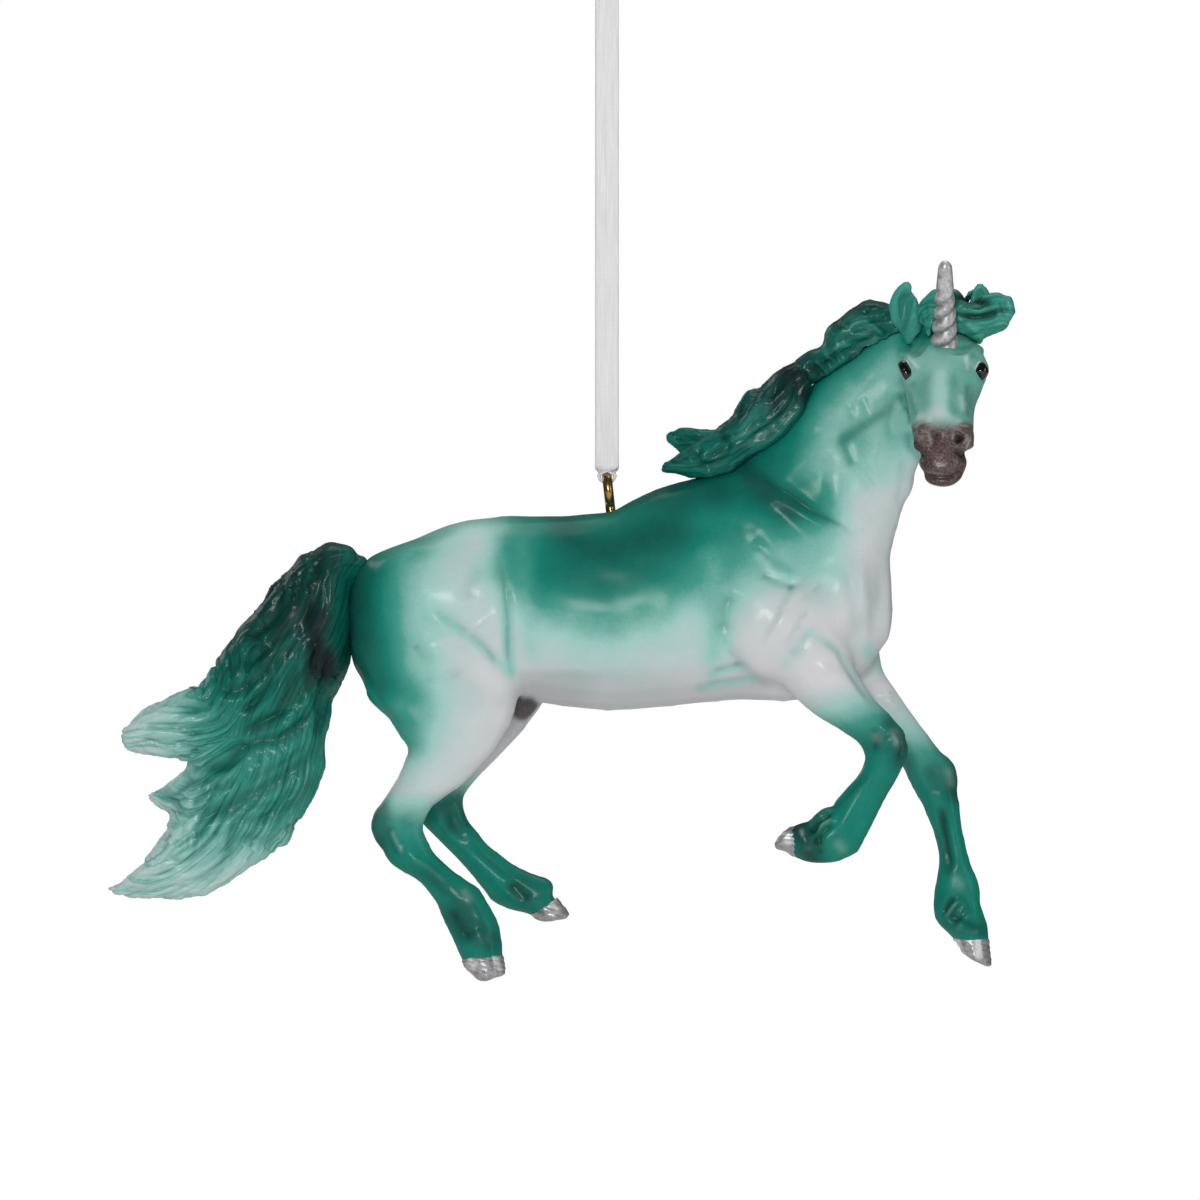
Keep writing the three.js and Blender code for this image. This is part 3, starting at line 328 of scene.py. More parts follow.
def ribbon_material():
    """Sheer ribbon: fine threads along its length over a plain cross weave."""
    material, graph, shader = new_material("white_ribbon")
    place = graph.place()
    warp = graph.math("SINE", graph.times(graph.attribute("across"), 66.0))
    weft = graph.math("SINE", graph.times(graph.attribute("along"), 24.0))
    weave = graph.times_plus(warp, 0.32, graph.times_plus(weft, 0.1, 0.5))
    slub = graph.noise(graph.stretched(place, (3.0, 3.0, 0.12)), 1500, 3.0, 0.6)
    shade = graph.times_plus(slub, 0.5, graph.times(weave, 0.5))
    colour = graph.ramp(shade, (0.2, linear(204, 204, 206)), (0.55, linear(232, 232, 233)),
                        (0.85, linear(246, 246, 246)))
    graph.feed(shader.inputs["Base Color"], colour)
    graph.feed(shader.inputs["Alpha"], graph.times_plus(shade, 0.25, 0.7, clamp=True))
    shader.inputs["Roughness"].default_value = 0.5
    shader.inputs["Sheen Weight"].default_value = 0.3
    shader.inputs["Sheen Roughness"].default_value = 0.4
    graph.bump(shader, shade, 0.5, 0.00005)
    return material


def eye_material():
    material, graph, shader = new_material("eye_black")
    speck = graph.noise(graph.place(), 2500, 2.0)
    colour = graph.ramp(speck, (0.3, linear(2, 2, 3)), (0.7, linear(8, 8, 9)))
    colour = graph.mixed(graph.attribute("ridge"), colour, linear(225, 228, 228))
    graph.feed(shader.inputs["Base Color"], colour)
    shader.inputs["Roughness"].default_value = 0.12
    shader.inputs["Coat Weight"].default_value = 0.3
    shader.inputs["Coat Roughness"].default_value = 0.04
    graph.bump(shader, speck, 0.05, 0.00002)
    return material


HIDE_PAINT = paint_material("pearl_hide_paint", 0.32, 0.2, 0.22, 0.8)
HAIR_PAINT = paint_material("dark_hair_paint", 0.2, 0.16, 0.17, 0.5, hair=0.5)
SILVER = silver_material()
BRASS = brass_material()
RIBBON = ribbon_material()
EYE_BLACK = eye_material()

# Ribbon loop: two free runs, a gathered fold under the ring, a knot with two ends
RIBBON_WIDTH = 3.2
RIBBON_THICK = 0.25
RUN_SPACING = 0.7
RIBBON_DROP = 76.0
FOLD_RISE = 6.0
SEAM = 0.3
RUN_TOP = -SEAM
RUN_BOTTOM = -RIBBON_DROP + FOLD_RISE + SEAM / 2
KNOT_LAP = 1.3
RUN_WAVE, RUN_WAVE_RATE = 0.05, 0.21
EDGE_ROW = 0.02


def near_ends(rows):
    """One more row close to each end, so that the shading stays flat up to it."""
    rows = np.array(rows, float)
    first, last = rows[0] + EDGE_ROW * (rows[1] - rows[0]), rows[-1] + EDGE_ROW * (rows[-2] - rows[-1])
    return np.concatenate([rows[:1], [first], rows[1:-1], [last], rows[-1:]])


def strip(centres, widths, halves, thick, columns=12):
    """A flat band: rings round it, its place across (-1 to 1) and along (mm)."""
    centres, widths, halves, thick = map(near_ends, (centres, widths, halves, thick))
    normals = unit(np.cross(widths, unit(np.gradient(centres, axis=0))))
    share = np.linspace(-1, 1, columns)
    round_edge = np.sqrt(np.clip(1 - np.abs(share) ** 8, 0.12, 1))
    rings, across = [], []
    for centre, width, normal, half, deep in zip(centres, widths, normals, halves, thick):
        front = [centre + width * s * half + normal * deep / 2 * r for s, r in zip(share, round_edge)]
        back = [centre + width * s * half - normal * deep / 2 * r for s, r in zip(share[::-1], round_edge)]
        rings.append(front + back)
        across.append(list(share) + list(share[::-1]))
    steps = np.linalg.norm(np.diff(centres, axis=0), axis=1)
    along = np.repeat(np.concatenate([[0], np.cumsum(steps)]), 2 * columns)
    return rings, np.array(across).ravel(), along


def ribbon_mesh(name, rings, across, along):
    points, faces = skin_over(rings)
    ends = [0.0, 0.0]
    return add_mesh(name, points * MM, faces,
                    {"across": np.concatenate([across, ends]), "along": np.concatenate([along, ends])})


def ribbon_run(name, side):
    heights = np.concatenate([[RUN_TOP + KNOT_LAP], np.linspace(RUN_TOP, RUN_BOTTOM, 90)])
    share = np.clip((heights - RUN_TOP) / (RUN_BOTTOM - RUN_TOP), 0, 1)
    wave = RUN_WAVE * np.sin(heights * RUN_WAVE_RATE + side) * np.sin(share * math.pi)
    centres = np.stack([0 * heights, side * RUN_SPACING / 2 + wave, heights], 1)
    widths = np.tile([1.0, 0.0, 0.0], (len(heights), 1))
    halves = np.full(len(heights), RIBBON_WIDTH / 2)
    thick = np.full(len(heights), RIBBON_THICK)
    obj = ribbon_mesh(name, *strip(centres, widths, halves, thick))
    obj.data.materials.append(RIBBON)
    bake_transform(obj)
    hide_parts(name)


ribbon_run("ribbon_front_run", -1)
ribbon_run("ribbon_back_run", 1)

# Stage: a pale floor well below the figure, white all round, soft boxes in front and above
FLOOR_HEIGHT = -0.30
FLOOR_RADIUS = 1.6
FLOOR_SIDES = 64
FLOOR_GLOW = 0.45
FILL_LIGHT, GLOSSY_LIGHT = 0.31, 0.1
WHITE = (1, 1, 1, 1)
MIDDLE = np.array([0.0, 0.0, -0.105])


def pale_floor():
    rim = [(FLOOR_RADIUS * math.cos(a), FLOOR_RADIUS * math.sin(a), FLOOR_HEIGHT)
           for a in round_angles(FLOOR_SIDES)]
    floor = add_mesh("floor", rim, [tuple(range(FLOOR_SIDES))])
    floor.data.shade_flat()
    material, graph, shader = new_material("floor")
    cloud = graph.noise(graph.place(), 8.0)
    colour = graph.ramp(cloud, (0.3, linear(243, 243, 243)), (0.7, linear(248, 248, 248)))
    graph.feed(shader.inputs["Base Color"], colour)
    shader.inputs["Roughness"].default_value = 0.9
    shader.inputs["Emission Color"].default_value = WHITE
    rays = graph.nodes.new("ShaderNodeLightPath")
    graph.feed(shader.inputs["Emission Strength"], graph.times(rays.outputs["Is Camera Ray"], FLOOR_GLOW))
    floor.data.materials.append(material)
    return floor


def white_world():
    """White for the camera and through clear things, dimmer for reflections and for the fill."""
    world = bpy.data.worlds.new("studio")
    bpy.context.scene.world = world
    world.use_nodes = True
    graph = Graph(world.node_tree)
    graph.nodes.clear()
    rays = graph.nodes.new("ShaderNodeLightPath")
    seen = graph.math("MAXIMUM", rays.outputs["Is Camera Ray"], rays.outputs["Is Transmission Ray"])
    fill = graph.times_plus(rays.outputs["Is Glossy Ray"], GLOSSY_LIGHT - FILL_LIGHT, FILL_LIGHT)
    backdrop = graph.nodes.new("ShaderNodeBackground")
    backdrop.inputs["Color"].default_value = WHITE
    graph.feed(backdrop.inputs["Strength"], graph.math("MAXIMUM", seen, fill))
    world_out = graph.nodes.new("ShaderNodeOutputWorld")
    graph.feed(world_out.inputs["Surface"], backdrop.outputs["Background"])


def soft_box(name, place, size, power):
    """A round lamp turned to the middle of the ornament."""
    lamp = bpy.data.lights.new(name, "AREA")
    lamp.shape = "ELLIPSE"
    lamp.size, lamp.size_y = size
    lamp.energy = power
    obj = bpy.data.objects.new(name, lamp)
    bpy.context.scene.collection.objects.link(obj)
    out = unit(np.array(place) - MIDDLE)
    obj.location = place
    obj.rotation_euler = (math.acos(out[2]), 0, math.atan2(out[1], out[0]) + math.pi / 2)


floor = pale_floor()
white_world()
soft_box("key_box", (-0.08, -1.15, 0.16), (0.28, 0.28), 5.7)
soft_box("glint_box", (-0.34, -1.05, 0.42), (0.1, 0.1), 1.3)
soft_box("top_box", (0.05, 0.30, 0.75), (0.8, 0.5), 2.4)
soft_box("side_box", (0.95, -0.55, 0.15), (0.4, 0.7), 1.6)
soft_box("back_box", (-0.7, 0.9, 0.35), (0.6, 0.6), 1.6)


# Clay: a dense surface that is pushed, pulled and painted
def node_surface(name):
    """Merged points (mm from the eye hole) and triangles of a CAD node."""
    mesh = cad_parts[name].data
    points = np.zeros(len(mesh.vertices) * 3)
    mesh.vertices.foreach_get("co", points)
    points = points.reshape(-1, 3) / MM - FIGURE
    mesh.calc_loop_triangles()
    triangles = np.zeros(len(mesh.loop_triangles) * 3, int)
    mesh.loop_triangles.foreach_get("vertices", triangles)
    merged, index = np.unique(np.round(points, 4), axis=0, return_inverse=True)
    triangles = index.ravel()[triangles].reshape(-1, 3)
    keep = (triangles[:, 0] != triangles[:, 1]) & (triangles[:, 1] != triangles[:, 2])
    return merged, triangles[keep & (triangles[:, 0] != triangles[:, 2])]


def normals_of(points, faces):
    """Unit normals of the points, from the triangles or quads round them."""
    corners = points[faces]
    if faces.shape[1] == 4:
        face_normals = np.cross(corners[:, 2] - corners[:, 0], corners[:, 3] - corners[:, 1])
    else:
        face_normals = np.cross(corners[:, 1] - corners[:, 0], corners[:, 2] - corners[:, 0])
    spread = np.repeat(face_normals, faces.shape[1], axis=0)
    normals = np.stack([np.bincount(faces.ravel(), spread[:, k], len(points)) for k in range(3)], 1)
    return normals / np.maximum(np.linalg.norm(normals, axis=1), 1e-9)[:, None]


def edges_of(quads):
    return np.vstack([quads[:, [k, (k + 1) % 4]] for k in range(4)])


def evaluated(points, faces, kind, **settings):
    """The points and quads that one modifier makes of a mesh."""
    mesh = bpy.data.meshes.new("work")
    mesh.from_pydata(points.tolist(), [], faces.tolist())
    obj = bpy.data.objects.new("work", mesh)
    bpy.context.scene.collection.objects.link(obj)
    modifier = obj.modifiers.new("work", kind)
    for key, value in settings.items():
        setattr(modifier, key, value)
    ready = obj.evaluated_get(bpy.context.evaluated_depsgraph_get())
    result = ready.to_mesh()
    out = np.zeros(len(result.vertices) * 3)
    result.vertices.foreach_get("co", out)
    corners = np.zeros(len(result.loops), int)
    result.loops.foreach_get("vertex_index", corners)
    ready.to_mesh_clear()
    bpy.data.objects.remove(obj)
    bpy.data.meshes.remove(mesh)
    return out.reshape(-1, 3), corners.reshape(-1, 4)


def main_shell(points, quads):
    """The largest shell alone, without those that lie inside, such as round a peg."""
    parent = np.arange(len(points))
    edges = edges_of(quads)
    while True:
        a, b = parent[edges[:, 0]], parent[edges[:, 1]]
        if (a == b).all():
            break
        np.minimum.at(parent, np.maximum(a, b), np.minimum(a, b))
        while (parent[parent] != parent).any():
            parent = parent[parent]
    roots, counts = np.unique(parent, return_counts=True)
    keep = parent == roots[counts.argmax()]
    number = np.cumsum(keep) - 1
    return points[keep], number[quads[keep[quads[:, 0]]]]


class Clay:
    """A smooth dense skin over CAD nodes: p points, n normals, q quads, paint layers, rise of the strokes."""
    def __init__(self, nodes, voxel=0.6, inflate=0.22, rounds=24, extra=()):
        points, faces, offset = [], [], 0
        for p, t in [node_surface(n) for n in nodes] + list(extra):
            points.append(p + normals_of(p, t) * inflate)
            faces.append(t + offset)
            offset += len(p)
        self.set(*main_shell(*evaluated(np.vstack(points), np.vstack(faces), "REMESH", mode="VOXEL",
                                        voxel_size=voxel, adaptivity=0)))
        self.taubin(rounds)
        self.set(*evaluated(self.p, self.q, "SUBSURF", levels=1, render_levels=1))
        self.taubin(4)
        self.p -= self.n * inflate
        self.refresh()
        self.paint = {key: np.zeros(len(self.p)) for key in ("tone", "coal", "warm", "cavity", "ridge")}
        self.rise = np.zeros(len(self.p))

    def set(self, points, quads):
        self.p, self.q = points, quads
        pairs = edges_of(quads)
        self.a = np.concatenate([pairs[:, 0], pairs[:, 1]])
        self.b = np.concatenate([pairs[:, 1], pairs[:, 0]])
        self.count = np.bincount(self.a, minlength=len(points))
        self.refresh()

    def refresh(self):
        self.n = normals_of(self.p, self.q)

    def picture(self):
        """Where each point lies in the photograph's frame, seen straight on."""
        return PX_ORIGIN[0] + self.p[:, 0] * PX_PER_MM, PX_ORIGIN[1] - self.p[:, 2] * PX_PER_MM

    def spread(self, values):
        """Each point's mean of its neighbours."""
        if values.ndim == 1:
            return np.bincount(self.a, values[self.b], len(self.p)) / self.count
        return np.stack([self.spread(values[:, k]) for k in range(values.shape[1])], 1)

    def taubin(self, rounds, shrink=0.6, swell=-0.62):
        """Smooths without shrinking."""
        for _ in range(rounds):
            for share in (shrink, swell):
                self.p = self.p + share * (self.spread(self.p) - self.p)
        self.refresh()

    def iron(self, rounds, weight):
        """Takes out the flats of the solid below, and keeps its girth."""
        before = self.p.copy()
        flat = self.blur(before, rounds)
        lost = self.blur(np.einsum("ij,ij->i", before - flat, self.n), 2 * rounds)
        self.p = before + weight[:, None] * (flat + self.n * lost[:, None] - before)
        self.refresh()

    def blur(self, values, rounds):
        for _ in range(rounds):
            values = 0.5 * values + 0.5 * self.spread(values)
        return values

    def facing(self, side, box=None):
        """Weight of each point: on the near side, or on both sides; box limits y (mm)."""
        weight = np.ones(len(self.p)) if side == BOTH else smooth(side * self.n[:, 1], -0.05, 0.35)
        if box:
            weight = weight * (self.p[:, 1] > box[0]) * (self.p[:, 1] < box[1])
        return weight

    def trace(self, line, reach):
        """For points within reach of a line in the side view: index, distance, place along, side."""
        line = curve_through(line)
        x, z = self.p[:, 0], self.p[:, 2]
        low, high = line.min(0) - reach, line.max(0) + reach
        index = np.nonzero((x > low[0]) & (x < high[0]) & (z > low[1]) & (z < high[1]))[0]
        spot = np.stack([x[index], z[index]], 1)
        best = np.full(len(index), 1e9)
        place, side = np.zeros(len(index)), np.zeros(len(index))
        lengths = np.linalg.norm(np.diff(line, axis=0), axis=1)
        starts = np.concatenate([[0], np.cumsum(lengths)])
        for k, (start, step) in enumerate(zip(line[:-1], np.diff(line, axis=0))):
            rel = spot - start
            t = np.clip(rel @ step / max(step @ step, 1e-9), 0, 1)
            gap = rel - t[:, None] * step
            distance = np.hypot(gap[:, 0], gap[:, 1])
            closer = distance < best
            best[closer] = distance[closer]
            place[closer] = (starts[k] + t[closer] * lengths[k]) / max(starts[-1], 1e-9)
            cross = step[0] * rel[:, 1] - step[1] * rel[:, 0]
            side[closer] = np.sign(cross[closer])
        return index, best, place, side

    def stroke(self, line, width, height, side=NEAR, box=None, tip=0.25, wash_and_shade=0.0, lip=0.0):
        """Presses in (height below 0) or raises a line, tapering at both ends, with dark wash and painted
        shade.
        """
        index, distance, place, _ = self.trace(line, 4 * width)
        taper = smooth(place, -0.02, tip) * smooth(1 - place, -0.02, tip)
        shown = taper * self.facing(side, box)[index]
        amount = np.exp(-(distance / width) ** 2) * shown
        self.rise[index] += height * amount + lip * np.exp(-(distance / width - 2) ** 2) * shown
        self.paint["cavity"][index] = np.maximum(self.paint["cavity"][index], wash_and_shade * amount)

    def comb(self, line, half, pitch, height, side, wobble=0.21):
        """Fine parallel hair lines along a line."""
        index, distance, place, hand = self.trace(line, half)
        offset = distance * hand
        drift = wobble * np.sin(place * 17 + offset * 0.8)
        window = smooth(half - distance, 0, half * 0.5) * smooth(place, 0, 0.2) * smooth(1 - place, 0, 0.2)
        hair = np.sin(2 * math.pi * (offset + drift) / pitch)
        self.rise[index] += height * hair * window * self.facing(side)[index]

    def nudge(self, moves, box=None):
        """Draws the outline over: each move takes one place in the picture to another, and fades away."""
        for start, end, reach in moves:
            (x, z), (to_x, to_z) = px(start, end)
            gap = np.hypot(self.p[:, 0] - x, self.p[:, 2] - z) * PX_PER_MM / reach
            amount = np.exp(-gap ** 2)
            if box:
                y, low, high = self.p[:, 1], *box
                amount = amount * smooth(y, low, low + BOX_EDGE) * smooth(-y, -high, BOX_EDGE - high)
            self.p[:, 0] += amount * (to_x - x)
            self.p[:, 2] += amount * (to_z - z)
        self.refresh()

    def spray(self, line, radius, value, strength=1.0, key="tone", side=BOTH, box=None, hard=0.0):
        """Airbrushes one of the paints along a line, full inside hard x radius."""
        index, distance, _, _ = self.trace(line, 2.2 * radius)
        gap = np.clip(distance / radius - hard, 0, None) / (1 - hard)
        amount = strength * np.exp(-gap ** 2 * 1.4) * self.facing(side, box)[index]
        layer = self.paint[key]
        layer[index] += amount * (value - layer[index])

    def darken(self, key, values):
        """Lays a paint on wherever there is less of it."""
        self.paint[key] = np.maximum(self.paint[key], values)

    def settle(self):
        """Moves the surface by what the strokes say."""
        self.p = self.p + self.n * self.rise[:, None]
        self.rise[:] = 0
        self.refresh()

    def paint_shade_and_highlights(self, dark, light, blur_rounds=3, reach=0.12):
        """Dark wash and painted shade in the hollows, painted highlights on the ridges, from the shape
        itself.
        """
        height = np.einsum("ij,ij->i", self.p - self.blur(self.p, 8), self.n)
        height = self.blur(height, blur_rounds)
        hollow, crest = smooth(-height, 0.1 * reach, reach), smooth(height, 0.5 * reach, 1.2 * reach)
        self.paint["cavity"] = np.clip(self.paint["cavity"] + dark * hollow, 0, 1)
        self.paint["ridge"] = np.clip(self.paint["ridge"] + light * crest, 0, 1)

    def finish(self, name, material, slot, *replaced):
        dress(add_mesh(name, (self.p + FIGURE) * MM, self.q, self.paint), material, slot, "figure", *replaced)


def px(*pairs):
    """Points of the side view, from places in the photograph's frame."""
    return [((x - PX_ORIGIN[0]) / PX_PER_MM, (PX_ORIGIN[1] - y) / PX_PER_MM) for x, y in pairs]


# The head stands nearer to the camera than the plane of the figure, so it looks larger there
LENS_CENTRE = (604.0, 600.0)
AT_EARS, AT_BROW, AT_LIDS, AT_TEMPLE, AT_CHEEK, AT_EYE, AT_BRIDGE, AT_NOSE_TOP, AT_NOSE = \
    10, 12, 13, 14, 15, 16, 17, 18, 22


def seen_at(depth, *pairs):
    """Like px, for places on a surface depth mm nearer than the plane of the figure."""
    share = 1 + depth * MM / CAMERA_DISTANCE
    return px(*[(LENS_CENTRE[0] + (x - LENS_CENTRE[0]) / share, LENS_CENTRE[1] + (y - LENS_CENTRE[1]) / share)
                for x, y in pairs])


# Head axes: down the face, out of the brow, towards the left ear
HEAD_PITCH = math.radians(50)
POLL = np.array([44.3, -5, 25.3])
FACE_AXIS = np.array([0, -math.sin(HEAD_PITCH), -math.cos(HEAD_PITCH)])
BROW_AXIS = np.array([0, -math.cos(HEAD_PITCH), math.sin(HEAD_PITCH)])
EAR_AXIS = np.array([1.0, 0, 0])


def on_head(down, out, across=0.0):
    return POLL + FACE_AXIS * down + BROW_AXIS * out + EAR_AXIS * across


def closed_skin(rings):
    """Points and triangles of a closed tube through rings of points."""
    points, faces = skin_over(rings)
    return points, np.array([(f[0], f[k], f[k + 1]) for f in faces for k in range(1, len(f) - 1)])


def plug(start, end, radius, sides=16):
    """A short rod between two points, to close a hole."""
    axis = unit(end - start)
    u = unit(np.cross(axis, [0, 1, 0]))
    v = np.cross(axis, u)
    rings = [[c + radius * (u * math.cos(a) + v * math.sin(a)) for a in round_angles(sides)]
             for c in (start, end)]
    return closed_skin(rings)


def ball(centre, radius, rows=10, sides=14, pole=0.15):
    """A closed sphere, to fill a hollow."""
    angles = round_angles(sides)
    rings = [np.stack([np.sin(polar) * np.cos(angles), np.sin(polar) * np.sin(angles),
                       np.full(sides, np.cos(polar))], 1) * radius + centre
             for polar in np.linspace(pole, math.pi - pole, rows)]
    return closed_skin(rings)


# Hide: trunk, neck, head and legs are one painted skin; the holes of the eyes and the screw are closed
HIDE_NODES = ["barrel", "neck", "head", "right_hindleg", "left_hindleg", "right_foreleg", "left_foreleg"]
HOOF_NODES = ["right_hind_hoof", "left_hind_hoof", "right_fore_hoof", "left_fore_hoof"]
EYE_LEAN = math.radians(6.2)
EYE_HOLE_BOTTOM, EYE_HOLE_TOP, EYE_HOLE_PLUG = -9.6, -0.6, 1.5
EYE_SPOTS = {side: on_head(8.9, -1.5, side * 4.9) + np.array([-0.2, 0, -0.1]) for side in (-1, 1)}
EYE_FILLER = 1.3
MUZZLE_BALLS = [((925, 437), -21.6, 1.75), ((962, 438.5), -21.6, 1.5), ((941, 461.5), -20.3, 3.25)]
eye_axis = np.array([-math.sin(EYE_LEAN), 0, math.cos(EYE_LEAN)])
fillers = [ball((px(spot)[0][0], y, px(spot)[0][1]), radius) for spot, y, radius in MUZZLE_BALLS]
fillers.append(plug(eye_axis * EYE_HOLE_BOTTOM, eye_axis * EYE_HOLE_TOP, EYE_HOLE_PLUG))
fillers += [ball(EYE_SPOTS[side], EYE_FILLER) for side in (-1, 1)]
hide = Clay(HIDE_NODES + HOOF_NODES, extra=fillers)

# Where the trunk and the front of the face lie (mm), each from no share to a full one
TRUNK_ABOVE, TRUNK_BEHIND = (-27, -20), (-40, -30)
FACE_BEFORE, FACE_AHEAD, ABOVE_NOSE = (4, 8), (36, 38), (-20.5, -18)
trunk = smooth(hide.p[:, 2], *TRUNK_ABOVE) * smooth(-hide.p[:, 0], *TRUNK_BEHIND)
hide.iron(70, trunk)
hide.iron(14, smooth(-hide.p[:, 1], *FACE_BEFORE) * smooth(hide.p[:, 0], *FACE_AHEAD)
          * smooth(hide.p[:, 1], *ABOVE_NOSE))

# Moves of the outline: from, to, reach in pixels; boxes limit y (mm)
NEAR_HALF, FAR_HALF, HEAD_BOX, JAW_BOX, CHIN_BOX = (-30, 1.5), (-1.5, 30), (-40, -4), (-13, 12), (-40, -15)
BOX_EDGE = 1.5
HOOF_MOVES = {
    "right_hind_hoof": [((466, 982), (470, 976), 10), ((502, 980), (499, 978), 9)],
    "left_hind_hoof": [((562, 918), (565, 919), 9), ((547, 890), (552.5, 890), 10)],
    "right_fore_hoof": [((778, 846), (774, 848), 10), ((789, 828), (792, 828), 9),
                        ((796, 862), (793, 863), 8)],
    "left_fore_hoof": [((989, 962), (990, 964), 9), ((960, 946), (962, 944), 9)],
}
HIDE_MOVES = [((660, 494), (659, 490), 30), ((375, 700), (371, 702), 18), ((403, 750), (405, 750), 16)]
NEAR_MOVES = [((492, 922), (496, 920), 20), ((418, 884), (419, 882), 18), ((846, 786), (843, 784), 18)]
FAR_MOVES = [((545, 884), (547, 882), 12), ((955, 772), (957, 771), 16), ((975, 888), (978, 887), 16)]
FACE_MOVES = [((985, 350), (991, 347), 9), ((976, 405), (972, 405), 14), ((896, 350), (893, 350), 8)]
JAW_MOVES = [((902, 486), (907, 487), 14)]
CHIN_MOVES = [((925, 437), (923, 437), 12), ((941, 478), (941, 481.5), 16)]
HEAD_BEFORE, HEAD_AHEAD = (6, 13), (34, 38)


def swells(x, y, z):
    """The slow swells that hand sculpting leaves in the skin, with finer ones over them."""
    broad = np.sin(0.62 * x + 1.1 * np.sin(0.4 * z + 0.3 * y)) * np.sin(0.55 * z + 0.9 * np.sin(0.5 * x))
    fine = np.sin(1.1 * x + 0.5 * z + 0.6 * y) * np.sin(1.2 * z - 0.4 * x + 0.5 * y)
    return 0.05 * broad + 0.012 * fine


hide.nudge(HIDE_MOVES)
hide.p += hide.n * (trunk * swells(*hide.p.T))[:, None]
hide.nudge(NEAR_MOVES, NEAR_HALF)
hide.nudge(FAR_MOVES, FAR_HALF)
hide.nudge(FACE_MOVES, HEAD_BOX)
for hoof, moves in HOOF_MOVES.items():
    hide.nudge(moves, NEAR_HALF if hoof.startswith("right") else FAR_HALF)
hide.nudge(JAW_MOVES, JAW_BOX)
head_share = smooth(-hide.p[:, 1], *HEAD_BEFORE) * smooth(hide.p[:, 0], *HEAD_AHEAD)
nearer = 1 + np.clip(-hide.p[:, 1], 0, None) * MM / CAMERA_DISTANCE
for axis, centre in zip((0, 2), px(LENS_CENTRE)[0]):
    hide.p[:, axis] -= head_share * (hide.p[:, axis] - centre) * (1 - 1 / nearer)
hide.nudge(CHIN_MOVES, CHIN_BOX)

